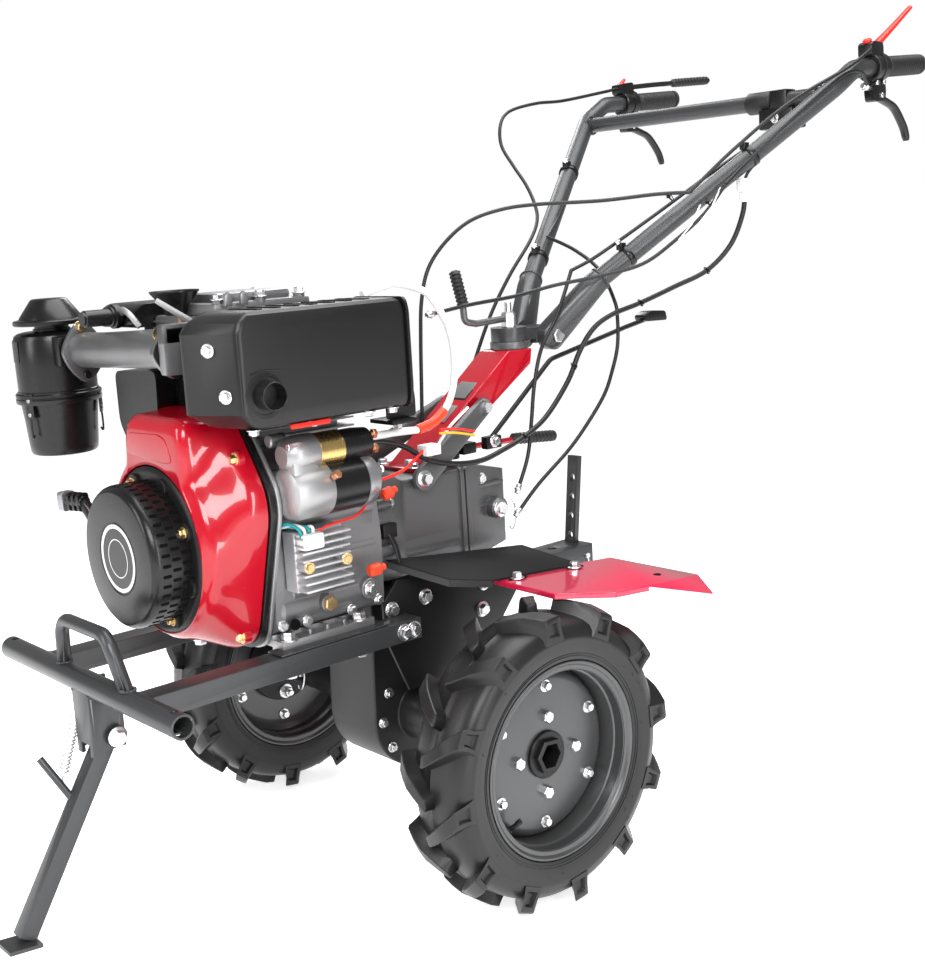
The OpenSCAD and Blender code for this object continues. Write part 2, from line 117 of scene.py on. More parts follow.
def studio():
    """White for the camera, a dim room for reflections, a key light, a top light and strips."""
    scene = bpy.context.scene
    scene.view_settings.view_transform = "Standard"
    world = bpy.data.worlds.new("studio")
    scene.world = world
    world.use_nodes = True
    nodes, links = world.node_tree.nodes, world.node_tree.links
    seen, room = nodes["Background"], nodes.new("ShaderNodeBackground")
    seen.inputs["Color"].default_value = (1, 1, 1, 1)
    seen.inputs["Strength"].default_value = 1.0
    room.inputs["Color"].default_value = (1, 1, 1, 1)
    room.inputs["Strength"].default_value = 0.34
    path = nodes.new("ShaderNodeLightPath")
    mix = nodes.new("ShaderNodeMixShader")
    links.new(path.outputs["Is Camera Ray"], mix.inputs["Fac"])
    links.new(room.outputs["Background"], mix.inputs[1])
    links.new(seen.outputs["Background"], mix.inputs[2])
    links.new(mix.outputs["Shader"], nodes["World Output"].inputs["Surface"])
    area_light("key", (2.4, 2.6, 2.4), (0, 0, 0.5), (1.5, 1.5), 105)
    area_light("top", (-0.2, 0.3, 3.0), (0, 0, 0.4), (2.4, 2.4), 105)
    area_light("strip", (0.3, 3.2, 1.1), (0, 0, 0.6), (0.4, 2.4), 42)
    area_light("front", (3.4, -0.6, 1.6), (0, 0, 0.5), (0.8, 2.0), 45)
    area_light("rim", (-1.6, -2.4, 2.8), (0, 0, 0.6), (1.2, 1.2), 30)
    bpy.ops.mesh.primitive_plane_add(size=40)
    floor = bpy.context.object
    floor.name = "floor"
    finish = bpy.data.materials.new("floor")
    finish.use_nodes = True
    shader = finish.node_tree.nodes["Principled BSDF"]
    shader.inputs["Base Color"].default_value = (0.97, 0.97, 0.97, 1)
    shader.inputs["Roughness"].default_value = 0.7
    shader.inputs["Emission Color"].default_value = (1, 1, 1, 1)
    shader.inputs["Emission Strength"].default_value = 0.72
    floor.data.materials.append(finish)


# ---- materials ----

def material(name, colour, rough, metal=0.0, coat=0.0, grain=900.0, bump=0.05, blotch=0.12,
             wear=None, wear_at=0.56, spread=0.08, gloss=0.35):
    """Procedural finish: broad tone changes, fine grain in bump and roughness, worn edges."""
    made = bpy.data.materials.new(name)
    made.use_nodes = True
    tree = made.node_tree
    nodes, links = tree.nodes, tree.links
    shader = nodes["Principled BSDF"]
    shader.inputs["Metallic"].default_value = metal
    shader.inputs["Coat Weight"].default_value = coat
    shader.inputs["Coat Roughness"].default_value = 0.06
    shader.inputs["Specular IOR Level"].default_value = gloss
    where = nodes.new("ShaderNodeTexCoord")
    broad = nodes.new("ShaderNodeTexNoise")
    broad.inputs["Scale"].default_value = 9
    broad.inputs["Detail"].default_value = 5
    fine = nodes.new("ShaderNodeTexNoise")
    fine.inputs["Scale"].default_value = grain
    fine.inputs["Detail"].default_value = 4
    for noise in (broad, fine):
        links.new(where.outputs["Object"], noise.inputs["Vector"])
    tone = nodes.new("ShaderNodeMixRGB")
    dark = [c * (1 - blotch) for c in colour]
    light = [min(1, c * (1 + blotch)) for c in colour]
    tone.inputs["Color1"].default_value = (*dark, 1)
    tone.inputs["Color2"].default_value = (*light, 1)
    links.new(broad.outputs["Fac"], tone.inputs["Fac"])
    colour_out = tone.outputs["Color"]
    if wear:
        shape = nodes.new("ShaderNodeNewGeometry")
        edge = nodes.new("ShaderNodeMapRange")
        edge.inputs["From Min"].default_value = wear_at
        edge.inputs["From Max"].default_value = wear_at + 0.1
        links.new(shape.outputs["Pointiness"], edge.inputs["Value"])
        worn = nodes.new("ShaderNodeMixRGB")
        worn.inputs["Color2"].default_value = (*wear, 1)
        links.new(edge.outputs["Result"], worn.inputs["Fac"])
        links.new(colour_out, worn.inputs["Color1"])
        colour_out = worn.outputs["Color"]
    links.new(colour_out, shader.inputs["Base Color"])
    sheen = nodes.new("ShaderNodeMapRange")
    sheen.inputs["To Min"].default_value = max(0.02, rough - spread)
    sheen.inputs["To Max"].default_value = min(1, rough + spread)
    mixed = nodes.new("ShaderNodeMath")
    mixed.operation = "MULTIPLY_ADD"
    mixed.inputs[1].default_value = 0.5
    half = nodes.new("ShaderNodeMath")
    half.operation = "MULTIPLY"
    half.inputs[1].default_value = 0.5
    links.new(fine.outputs["Fac"], half.inputs[0])
    links.new(broad.outputs["Fac"], mixed.inputs[0])
    links.new(half.outputs["Value"], mixed.inputs[2])
    links.new(mixed.outputs["Value"], sheen.inputs["Value"])
    links.new(sheen.outputs["Result"], shader.inputs["Roughness"])
    relief = nodes.new("ShaderNodeBump")
    relief.inputs["Strength"].default_value = bump
    relief.inputs["Distance"].default_value = 0.0004
    links.new(fine.outputs["Fac"], relief.inputs["Height"])
    links.new(relief.outputs["Normal"], shader.inputs["Normal"])
    return made


STEEL_EDGE = (0.24, 0.24, 0.245)
mat = {
    "frame": material("frame_powder_coat", (0.060, 0.061, 0.063), 0.33, metal=0.55, grain=700, bump=0.25,
                      wear=STEEL_EDGE, wear_at=0.62),
    "rim": material("rim_paint", (0.085, 0.086, 0.088), 0.32, metal=0.6, grain=500, bump=0.2,
                    wear=(0.16, 0.16, 0.165), wear_at=0.6),
    "black": material("black_paint", (0.007, 0.007, 0.0075), 0.36, grain=600, bump=0.2,
                      wear=(0.04, 0.04, 0.042), wear_at=0.62, gloss=0.25),
    "plate": material("black_plate_paint", (0.009, 0.009, 0.0095), 0.55, grain=600, bump=0.2, gloss=0.12),
    "muffler": material("heat_paint", (0.007, 0.007, 0.0075), 0.33, grain=1200, bump=0.3, blotch=0.2),
    "red": material("red_gloss_paint", (0.37, 0.0012, 0.011), 0.26, coat=0.7, grain=300, bump=0.03,
                    blotch=0.05, spread=0.04, gloss=0.2),
    "wing": material("red_wing_paint", (0.55, 0.010, 0.055), 0.25, coat=1.0, grain=300, bump=0.03,
                     blotch=0.04, spread=0.04, gloss=0.3),
    "alloy": material("cast_aluminium", (0.34, 0.34, 0.345), 0.40, metal=0.85, grain=420, bump=0.6,
                      blotch=0.16),
    "bright_alloy": material("machined_aluminium", (0.58, 0.58, 0.59), 0.42, metal=0.75, grain=420,
                             bump=0.5, blotch=0.12),
    "dull_alloy": material("sand_cast_aluminium", (0.22, 0.22, 0.225), 0.42, metal=0.8, grain=360,
                           bump=0.8, blotch=0.2),
    "iron": material("cast_iron_pipe", (0.19, 0.19, 0.195), 0.34, metal=0.8, grain=300, bump=0.9, blotch=0.2),
    "gearbox": material("gearbox_grey_paint", (0.115, 0.117, 0.120), 0.36, metal=0.6, grain=380, bump=0.6,
                        blotch=0.16, wear=(0.26, 0.26, 0.26), wear_at=0.6),
    "dark_case": material("dark_case_paint", (0.020, 0.020, 0.021), 0.36, metal=0.3, grain=380, bump=0.6,
                          wear=(0.07, 0.07, 0.07), wear_at=0.6),
    "zinc": material("zinc_plate", (0.72, 0.72, 0.73), 0.28, metal=1.0, grain=800, bump=0.15),
    "gold_zinc": material("yellow_zinc_plate", (0.72, 0.50, 0.25), 0.28, metal=1.0, grain=800, bump=0.15),
    "copper": material("copper", (0.75, 0.36, 0.20), 0.3, metal=1.0, grain=600, bump=0.2),
    "brass": material("gold_band", (0.66, 0.46, 0.18), 0.26, metal=1.0, grain=500, bump=0.1),
    "tyre": material("tyre_rubber", (0.008, 0.008, 0.0085), 0.36, grain=650, bump=0.5, blotch=0.25,
                     wear=(0.028, 0.028, 0.028), wear_at=0.6, spread=0.12),
    "plastic": material("black_plastic", (0.005, 0.005, 0.0055), 0.27, grain=1500, bump=0.12),
    "grip": material("grip_rubber", (0.009, 0.009, 0.0095), 0.5, grain=1200, bump=0.4),
    "cable": material("cable_sheath", (0.007, 0.007, 0.0075), 0.4, grain=900, bump=0.15),
    "red_plastic": material("red_lever_plastic", (0.75, 0.015, 0.008), 0.34, grain=900, bump=0.1),
    "orange": material("orange_cap_plastic", (0.66, 0.045, 0.012), 0.40, grain=900, bump=0.15),
    "white": material("white_sleeve", (0.70, 0.70, 0.69), 0.55, grain=700, bump=0.3),
    "teal": material("teal_wire", (0.01, 0.22, 0.24), 0.4, grain=900, bump=0.1),
    "yellow": material("yellow_wire", (0.70, 0.42, 0.02), 0.4, grain=900, bump=0.1),
    "label": material("blank_plate", (0.34, 0.34, 0.35), 0.32, metal=0.8, grain=500, bump=0.1),
    "void": material("deep_shadow", (0.002, 0.002, 0.002), 0.9, grain=500, bump=0.1, gloss=0.1),
}


# ---- drawing ----

def vec(x, y, z):
    """A point or direction to calculate with."""
    return np.array([x, y, z], float)


def unit(v):
    """A vector at length one."""
    return v / np.linalg.norm(v)


def basis(axis):
    """Two unit vectors square to axis."""
    axis = unit(np.array(axis, float))
    other = vec(0, 0, 1.0) if abs(axis[2]) < 0.9 else vec(1.0, 0, 0)
    u = unit(np.cross(other, axis))
    return axis, u, np.cross(axis, u)


def spline(points, steps=6):
    """Smooth curve through the points."""
    p = np.array(points, float)
    p = np.vstack([2 * p[0] - p[1], p, 2 * p[-1] - p[-2]])
    out = []
    for i in range(1, len(p) - 2):
        for t in np.arange(steps) / steps:
            a, b, c, d = p[i - 1:i + 3]
            out.append(0.5 * (2 * b + (c - a) * t + (2 * a - 5 * b + 4 * c - d) * t ** 2
                              + (3 * b - a - 3 * c + d) * t ** 3))
    out.append(p[-2])
    return np.array(out)


def rounded(points, radius, steps=5):
    """The route with its corners turned into arcs."""
    p = [np.array(q, float) for q in points]
    out = [p[0]]
    for a, b, c in zip(p, p[1:], p[2:]):
        u, w = unit(a - b), unit(c - b)
        half = math.acos(max(-1, min(1, float(u @ w)))) / 2
        reach = min(radius / math.tan(half), 0.45 * np.linalg.norm(a - b),
                    0.45 * np.linalg.norm(c - b))
        for t in np.linspace(0, 1, steps + 1):
            out.append((1 - t) ** 2 * (b + u * reach) + 2 * t * (1 - t) * b + t ** 2 * (b + w * reach))
    out.append(p[-1])
    return np.array(out)


def round_edges(bm, sharper_than, offset, segments):
    """Rounds the edges whose faces meet at more than an angle in radians."""
    edges = [e for e in bm.edges if len(e.link_faces) == 2 and e.calc_face_angle(0) > sharper_than]
    if offset > 0 and edges:
        bmesh.ops.bevel(bm, geom=edges, offset=offset, segments=segments, profile=0.6,
                        affect="EDGES", clamp_overlap=True)


def tube_faces(rings, n, caps=True):
    """Faces of a tube made of rings of n points, with or without its two ends."""
    last = (rings - 1) * n
    faces = [tuple(range(n))[::-1], tuple(range(last, last + n))] if caps else []
    for i in range(rings - 1):
        for k in range(n):
            j = (k + 1) % n
            faces.append((i * n + k, i * n + j, (i + 1) * n + j, (i + 1) * n + k))
    return faces


class Piece:
    """A mesh under construction, in millimetres."""

    def __init__(self, name, space=CHASSIS):
        self.name, self.space = name, space
        self.verts, self.faces, self.index, self.mats = [], [], [], []

    def add(self, verts, faces, kind):
        if kind not in self.mats:
            self.mats.append(kind)
        base = len(self.verts)
        self.verts.extend([tuple(map(float, v)) for v in verts])
        self.faces.extend([tuple(base + i for i in f) for f in faces])
        self.index.extend([self.mats.index(kind)] * len(faces))
        return self

    def bevelled(self, verts, faces, kind, bevel, segments=2):
        """Adds a closed shape with its sharp edges rounded."""
        bm = bmesh.new()
        made = [bm.verts.new(tuple(map(float, v))) for v in verts]
        for f in faces:
            bm.faces.new([made[i] for i in f])
        bm.normal_update()
        round_edges(bm, 0.35, bevel, segments)
        bm.verts.index_update()
        self.add([v.co for v in bm.verts], [[v.index for v in f.verts] for f in bm.faces], kind)
        bm.free()
        return self

    def box(self, low, high, kind, bevel=1.2):
        """A block between two corners."""
        (x0, y0, z0), (x1, y1, z1) = low, high
        v = np.array([(x, y, z) for x in (x0, x1) for y in (y0, y1) for z in (z0, z1)], float)
        f = [(0, 1, 3, 2), (4, 6, 7, 5), (0, 4, 5, 1), (2, 3, 7, 6), (0, 2, 6, 4), (1, 5, 7, 3)]
        return self.bevelled(v, f, kind, bevel)

    def prism(self, outline, origin, u, v, depth, kind, bevel=1.0, segments=2):
        """An outline in the plane of u and v, pushed out by depth along their normal."""
        o, u, v = np.array(origin, float), unit(np.array(u, float)), unit(np.array(v, float))
        n = np.cross(u, v)
        area = sum(a[0] * b[1] - b[0] * a[1] for a, b in zip(outline, outline[1:] + outline[:1]))
        if area < 0:
            outline = outline[::-1]
        low = [o + a * u + b * v for a, b in outline]
        high = [p + n * depth for p in low]
        k = len(outline)
        faces = [tuple(range(k))[::-1], tuple(range(k, 2 * k))]
        faces += [(i, (i + 1) % k, k + (i + 1) % k, k + i) for i in range(k)]
        if depth < 0:
            faces = [f[::-1] for f in faces]
        return self.bevelled(low + high, faces, kind, bevel, segments)

    def lathe(self, origin, axis, profile, kind, n=40, start=0.0):
        """Turns a profile of (height along axis, radius) pairs; radius 0 closes it."""
        w, u, v = basis(axis)
        o = np.array(origin, float)
        verts, rings = [], []
        for h, r in profile:
            if r <= 1e-6:
                rings.append([len(verts)])
                verts.append(o + w * h)
            else:
                rings.append(list(range(len(verts), len(verts) + n)))
                for k in range(n):
                    a = start + 2 * pi * k / n
                    verts.append(o + w * h + r * (cos(a) * u + sin(a) * v))
        faces = []
        for low, high in zip(rings, rings[1:]):
            for k in range(n):
                j = (k + 1) % n
                if len(low) == 1 and len(high) == 1:
                    continue
                if len(low) == 1:
                    faces.append((low[0], high[j], high[k]))
                elif len(high) == 1:
                    faces.append((low[k], low[j], high[0]))
                else:
                    faces.append((low[k], low[j], high[j], high[k]))
        return self.add(verts, faces, kind)

    def rod(self, a, b, r, kind, n=24, bevel=0.8):
        """A round bar with softened ends."""
        a, b = np.array(a, float), np.array(b, float)
        h = np.linalg.norm(b - a)
        e = min(bevel, r * 0.4, h * 0.3)
        return self.lathe(a, b - a, [(0, 0), (0, r - e), (e, r), (h - e, r), (h, r - e), (h, 0)],
                          kind, n)

    def pipe(self, a, b, r_out, r_in, kind, n=32):
        """An open tube with a wall."""
        a, b = np.array(a, float), np.array(b, float)
        h = np.linalg.norm(b - a)
        e = min(0.6, (r_out - r_in) * 0.3)
        loop = [(e, r_out), (h - e, r_out), (h, r_out - e), (h, r_in + e), (h - e, r_in), (e, r_in),
                (0, r_in + e), (0, r_out - e), (e, r_out)]
        return self.lathe(a, b - a, loop, kind, n)

    def sweep(self, points, r, kind, n=10, flat=1.0):
        """A round or flattened bar along a route; r may be a list with one radius a point."""
        p = np.array(points, float)
        radii = np.full(len(p), r, float) if np.isscalar(r) else np.array(r, float)
        way = np.gradient(p, axis=0)
        way = np.array([unit(w) for w in way])
        side = basis(way[0])[1]
        verts = []
        for q, w, rad in zip(p, way, radii):
            side = unit(side - w * (side @ w))
            up = np.cross(w, side)
            for k in range(n):
                a = 2 * pi * k / n
                verts.append(q + rad * (cos(a) * side + flat * sin(a) * up))
        return self.add(verts, tube_faces(len(p), n), kind)

    def loft(self, rings, kind, caps=True):
        """Skin over rings with the same number of points."""
        n = len(rings[0])
        verts = [p for ring in rings for p in ring]
        return self.add(verts, tube_faces(len(rings), n, caps), kind)

    def bolt(self, at, axis, across=13, kind="zinc", washer=True, height=None):
        """Hexagon head with a chamfer, on a washer."""
        h = height or across * 0.55
        r = across / 2 / cos(pi / 6)
        base = 0.0
        if washer:
            base = 1.6
            self.lathe(at, axis, [(0, 0), (0, across * 0.82), (1.0, across * 0.82),
                                  (base, across * 0.76), (base, 0)], kind, 24)
        self.lathe(at, axis, [(base, 0), (base, r), (base + h * 0.8, r), (base + h, r * 0.84),
                              (base + h, 0)], kind, 6, start=rng.random())
        return self

    def disc(self, at, axis, r, h, kind, n=32):
        """A thin round pad with a softened rim."""
        e = min(h * 0.4, 1.0)
        return self.lathe(at, axis, [(0, 0), (0, r), (h - e, r), (h, r - e), (h, 0)], kind, n)

    def weld(self, points, r=2.2, kind="frame"):
        """A rippled bead along a route."""
        p = spline(points, 8)
        radii = [r * (1 + 0.18 * sin(i * 1.9)) for i in range(len(p))]
        return self.sweep(p, radii, kind, 8)

    def done(self, body, replaces=(), blend=None, angle=38):
        mesh = bpy.data.meshes.new(self.name)
        mesh.from_pydata(self.verts, [], self.faces)
        mesh.transform(self.space)
        if self.space.determinant() < 0:
            mesh.flip_normals()
        mesh.update()
        for kind in self.mats:
            mesh.materials.append(mat[kind])
        mesh.polygons.foreach_set("material_index", self.index)
        bm = bmesh.new()
        bm.from_mesh(mesh)
        bmesh.ops.recalc_face_normals(bm, faces=bm.faces)
        bm.to_mesh(mesh)
        bm.free()
        mesh.shade_smooth()
        mesh.set_sharp_from_angle(angle=radians(angle))
        piece = bpy.data.objects.new(self.name, mesh)
        bpy.context.scene.collection.objects.link(piece)
        settle(piece, body, replaces, blend)
        return piece


def settle(piece, body, replaces=(), blend=None):
    """Puts a piece on its body, or leaves it in the world frame when a blend is given, and hides the CAD
    parts it replaces.
    """
    if blend:
        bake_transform(piece)
    else:
        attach(piece, body)
    if replaces:
        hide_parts(*replaces)


def dress(node, kind, body="chassis", bevel=1.5, segments=2, angle=38):
    """A copy of a CAD node with its edges rounded and its facets smoothed."""
    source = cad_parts[node]
    piece = bpy.data.objects.new(node + "_finish", source.data.copy())
    bpy.context.scene.collection.objects.link(piece)
    bm = bmesh.new()
    bm.from_mesh(piece.data)
    bmesh.ops.remove_doubles(bm, verts=bm.verts, dist=2e-5)
    bmesh.ops.dissolve_limit(bm, angle_limit=0.01, verts=bm.verts, edges=bm.edges)
    bm.normal_update()
    round_edges(bm, 0.45, bevel * MM, segments)
    bmesh.ops.recalc_face_normals(bm, faces=bm.faces)
    bm.to_mesh(piece.data)
    bm.free()
    piece.data.materials.clear()
    piece.data.materials.append(mat[kind])
    piece.data.polygons.foreach_set("material_index", [0] * len(piece.data.polygons))
    piece.data.shade_smooth()
    piece.data.set_sharp_from_angle(angle=radians(angle))
    settle(piece, body, (node,))
    return piece


# ---- wheels ----

CASING = [(-44.4, 127), (-45.5, 136), (-46, 140.6), (-48, 142), (-49, 146), (-50.5, 153), (-52, 162),
          (-52.6, 170), (-53.1, 173.5), (-52.2, 176), (-50.5, 183), (-46, 190), (-39, 195), (-28, 198.5),
          (-12, 200.5), (-1.5, 201), (0, 202)]


def casing_r(y):
    """Radius of the tyre's crown at distance y from its middle plane."""
    ys = [abs(h) for h, r in CASING[::-1] if r > 175]
    rs = [r for h, r in CASING[::-1] if r > 175]
    return float(np.interp(abs(y), ys, rs))


def lug(p, s, start):
    """Bar from the crown's middle back to the shoulder, with a hollow in its outer end."""
    rings = []
    for t in (0, 0.04, 0.2, 0.4, 0.6, 0.8, 0.93, 0.98, 1.0):
        y = s * (-6 + 60 * t)
        middle = start - 0.215 * t ** 1.15
        top = 218.8 - 0.8 * (1 - t) - 8.5 * max(0, t - 0.62) ** 1.2 / 0.3
        low = min(casing_r(min(abs(y), 50)) - 3, 196) - 6 * max(0, t - 0.8) / 0.2
        nose = 0.6 if t == 0 else 1.0
        wide, foot = (8.6 + 4.6 * t) * nose, (13.5 + 6.5 * t) * nose
        if t in (0, 1.0):
            top -= 1.6
        ring = []
        for across, r in ((-foot, low), (-wide - 1.6, (low + top) / 2), (-wide, top - 1.4),
                          (-wide + 1.5, top), (wide - 1.5, top), (wide, top - 1.4),
                          (wide + 1.6, (low + top) / 2), (foot, low)):
            a = middle + across / 208
            ring.append((r * sin(a), y, r * cos(a)))
        rings.append(ring)
    last = np.array(rings[-1])
    centre = last.mean(0) * vec(0.985, 1, 0.985)
    inset = centre + (last - centre) * 0.62
    inset[:, 1] = last[:, 1]
    floor_ring = centre + (last - centre) * 0.45
    floor_ring[:, 1] = last[:, 1] - s * 4.5
    p.loft(rings + [inset.tolist(), floor_ring.tolist()], "tyre")


def hairs(p, count):
    """Moulding hairs scattered over the crown and the side walls."""
    for _ in range(count):
        a = rng.uniform(0, 2 * pi)
        if rng.random() < 0.5:
            s, r = rng.choice((-1, 1)), rng.uniform(146, 172)
            y = s * float(np.interp(r, [146, 153, 162, 172], [49, 50.5, 52, 53]))
            off = vec(0, s * 0.8, 0)
        else:
            y = rng.uniform(-40, 40)
            r = casing_r(y)
            off = vec(sin(a), 0, cos(a)) * 3
        foot = vec(r * sin(a), y, r * cos(a))
        along = vec(cos(a), 0, -sin(a)) * rng.uniform(3, 6)
        p.sweep([foot, foot + off + along * 0.4, foot + off + along], 0.35, "tyre", 5)


def tyre(side):
    """Casing, lugs, side wall rings and moulding hairs."""
    name = "left" if side > 0 else "right"
    p = Piece(name + "_tyre_rubber", wheel_space(side))
    profile = CASING + [(-h, r) for h, r in CASING[-2::-1]] + [CASING[0]]
    p.lathe(ORIGIN, Y, profile, "tyre", 144)
    for s in (-1, 1):
        for k in range(12):
            lug(p, s, 2 * pi * (k + (0.5 if s > 0 else 0)) / 12 + 0.14)
        # raised rings on the side wall
        for r, y in ((147, 49.2), (150.5, 50)):
            p.lathe(ORIGIN, Y, [(s * (y - 1.5), r - 1), (s * y + s * 0.8, r - 0.5),
                                           (s * y + s * 0.8, r + 0.5), (s * (y - 1.5), r + 1)],
                    "tyre", 144)
    hairs(p, 110)
    p.done(name + "_wheel", (name + "_tyre",), angle=33)


def rim(side):
    """Barrel, disc, bolts, valve stem and seam."""
    name = "left" if side > 0 else "right"
    p = Piece(name + "_rim_steel", wheel_space(side))
    barrel = [(-49, 139), (-48.2, 140), (-46.5, 139.6), (-45.6, 137), (-45, 128), (-43, 126.3),
              (43, 126.3), (45, 128), (45.6, 137), (46.5, 139.6), (48.2, 140), (49, 139),
              (49, 137), (47.4, 134.5), (44, 132.4), (38, 130.8), (31, 129.6), (28.5, 128.4),
              (27, 126), (26, 123.6), (23, 122.6), (-24, 122.6), (-28, 126), (-38, 130.5),
              (-45, 133), (-49, 137), (-49, 139)]
    p.lathe(ORIGIN, Y, barrel, "rim", 128)
    disc = [(10, 24), (10, 106), (9.4, 110.5), (7.4, 114), (4, 117), (0, 119.5), (-6, 122.8),
            (-9, 122.8), (-3, 117), (1, 113.4), (3.6, 109), (4.2, 105), (4.2, 24), (10, 24)]
    p.lathe(ORIGIN, Y, disc, "rim", 128)
    for k in range(6):
        a = radians(87 + 60 * k)
        at = vec(99 * cos(a), 10, 99 * sin(a))
        p.bolt(at, Y, 11, height=6.5)
        p.bolt(at - vec(0, 6, 0), (0, -1, 0), 12, height=8)
    for k in range(4):
        a = radians(-3 + 90 * k)
        at = vec(55 * cos(a), 10, 55 * sin(a))
        p.bolt(at, Y, 16, "zinc", False, 9.5)
    # valve stem with its cap
    a = radians(-50)
    out = vec(cos(a), 0, sin(a))
    foot = out * 121 + vec(0, 18, 0)
    tip = out * 101 + vec(0, 30, 0)
    p.rod(foot, foot + (tip - foot) * 0.25, 6, "grip", 20)
    p.rod(foot, tip, 3.2, "black", 20)
    p.rod(foot + (tip - foot) * 0.72, tip + (tip - foot) * 0.1, 4.2, "plastic", 12)
    # rolled seam across the barrel
    a = radians(200)
    p.sweep([(r * cos(a), y, r * sin(a)) for y, r in ((-20, 122.4), (22, 122.4))], 1.6,
            "rim", 8, 0.5)
    p.done(name + "_wheel", (name + "_rim",), angle=30)


def hub(side):
    """Axle sleeve, flange, hexagon collar and retaining pin."""
    name = "left" if side > 0 else "right"
    p = Piece(name + "_hub_sleeve", wheel_space(side))
    hexagon = [(cos(k * pi / 3) * 31, sin(k * pi / 3) * 31) for k in range(6)]
    p.lathe(ORIGIN, Y, [(-190, 27), (9, 27), (10, 34), (14.4, 34), (15.4, 33), (15.4, 22),
                                   (-190, 22), (-190, 27)], "black", 64)
    # hexagon collar with a hexagon hole
    low, depth = 15.2, 7.5
    outer = [(0.84 * a, low, 0.84 * b) for a, b in hexagon]
    inner = [(0.6 * a, low, 0.6 * b) for a, b in hexagon]
    rings = [outer, [(x, low + depth - 1, z) for x, _, z in outer],
             [(x * 0.96, low + depth, z * 0.96) for x, _, z in outer],
             [(x * 1.04, low + depth, z * 1.04) for x, _, z in inner],
             [(x, low + depth - 1, z) for x, _, z in inner], [(x, low - 60, z) for x, _, z in inner]]
    p.loft(rings, "black", caps=False)
    p.disc((0, -30, 0), Y, 24, 2, "void")
    p.lathe(ORIGIN, Y, [(-5, 26), (-5, 69), (-4, 70), (3, 70), (3.8, 69), (3.8, 26), (-5, 26)],
            "black", 64)
    for k in range(4):
        a = radians(-3 + 90 * k)
        at = vec(55 * cos(a), -5, 55 * sin(a))
        p.bolt(at, (0, -1, 0), 16, height=10)
        p.rod(at, at - vec(0, 18, 0), 5, "zinc", 16)
    # retaining pin with its wire clip across the sleeve
    p.rod((-34, -96, 0), (34, -96, 0), 5, "zinc", 16)
    clip = [(30, -96, 0), (31, -104, 10), (31, -110, -2), (31, -104, -22), (31, -96, -26),
            (31, -93, -20)]
    p.sweep(spline(clip), 1.3, "zinc", 8)
    p.done(name + "_wheel", (name + "_hub",), angle=30)


def wheels():
    """Both wheels, each with its tyre, rim and hub."""
    for side in (1, -1):
        tyre(side)
        rim(side)
        hub(side)


# ---- front frame ----

def front_frame():
    """Cross tube, hoop, rails and stand bracket."""
    dress("front_cross_tube", "frame", bevel=0.5)
    dress("grab_hoop", "frame", bevel=0)
    for side in ("left", "right"):
        dress(side + "_rail", "frame", bevel=2.2, segments=3)
    dress("stand_bracket", "frame", bevel=0.8)
    dress("stand", "frame", "stand", bevel=1.6)
    p = Piece("frame_welds")
    tube = vec(507, 0, 170)
    for y in (-148, -112, 112, 148):
        ring = [tube + vec(-16 * cos(a), y, 16 * sin(a))
                for a in np.linspace(-1.0, 0.6, 9)]
        p.weld(ring, 2.2)
    for y in (-68, 112):
        ring = [(507 + 9 * cos(a), y + 9 * sin(a), 186) for a in np.linspace(0, 6.28, 13)]
        p.weld(ring, 2.0)
    for y in (-24, 22):
        ring = [tube + vec(16.5 * cos(a), y, 16.5 * sin(a))
                for a in np.linspace(-2.6, -0.6, 9)]
        p.weld(ring, 2.0)
    p.done("chassis")
    stand_details()


def stand_details():
    """Stand bolts and the return spring."""
    p = Piece("stand_fittings")
    p.bolt((488, 28, 97), Y, 17, height=8)
    p.bolt((488, -32, 97), (0, -1, 0), 17, height=8)
    p.weld([(533, -11, 6), (534, 0, 7), (533, 11, 6)], 2.2)
    p.done("stand")
    # coil spring between the bracket and the kick rod, with hooked ends
    top, low = vec(513, -32, 126.0), vec(545, -31, 42.0)
    axis, u, v = basis(low - top)
    length = np.linalg.norm(low - top)
    coils = [top + axis * (8 + (length - 16) * t) + 6 * (cos(14 * tau * t) * u
                                                        + sin(14 * tau * t) * v)
             for t in np.linspace(0, 1, 14 * 12 + 1)]
    route = [top + (0, 5, 0), top - (0, 0, 2)] + coils + [low + axis * 2, low + (1, 4, -5)]
    spring = Piece("stand_spring_coil")
    spring.sweep(route, 1.25, "zinc", 7)
    spring.done("chassis", ("stand_spring",), angle=60,
                blend=("chassis", "stand", CHASSIS @ Vector(top), CHASSIS @ Vector(low)))


# ---- engine ----

def soft_outline(points, radius, steps=5):
    """Closed outline with its corners rounded."""
    out = []
    k = len(points)
    for i in range(k):
        a, b, c = (np.array(points[j % k], float) for j in (i - 1, i, i + 1))
        u, w = unit(a - b), unit(c - b)
        reach = min(radius, 0.45 * np.linalg.norm(a - b), 0.45 * np.linalg.norm(c - b))
        for t in np.linspace(0, 1, steps):
            out.append((1 - t) ** 2 * (b + u * reach) + 2 * t * (1 - t) * b
                       + t ** 2 * (b + w * reach))
    return out


COWL = [(-82, 184), (96, 184), (158, 395), (100, 480), (60, 540), (-70, 540), (-100, 500), (-158, 400)]


def cowl_outline(grow):
    """Outline of the cowling's back, grown by some millimetres."""
    middle = np.array([0, 350.0])
    grown = [middle + (np.array(q) - middle) * (1 + grow / 165) for q in COWL]
    return soft_outline(grown, 34, 7)


def outline_at(outline, angles, middle):
    """Distance of the outline from a middle point in each direction."""
    pts = np.array(outline) - middle
    a = np.arctan2(pts[:, 1], pts[:, 0])
    order = np.argsort(a)
    dense_a, dense_r = [], []
    for i in range(len(order)):
        p, q = pts[order[i]], pts[order[(i + 1) % len(order)]]
        for t in np.arange(12) / 12:
            m = p + (q - p) * t
            dense_a.append(math.atan2(m[1], m[0]))
            dense_r.append(float(np.hypot(*m)))
    return np.interp(angles, dense_a, dense_r, period=2 * pi)


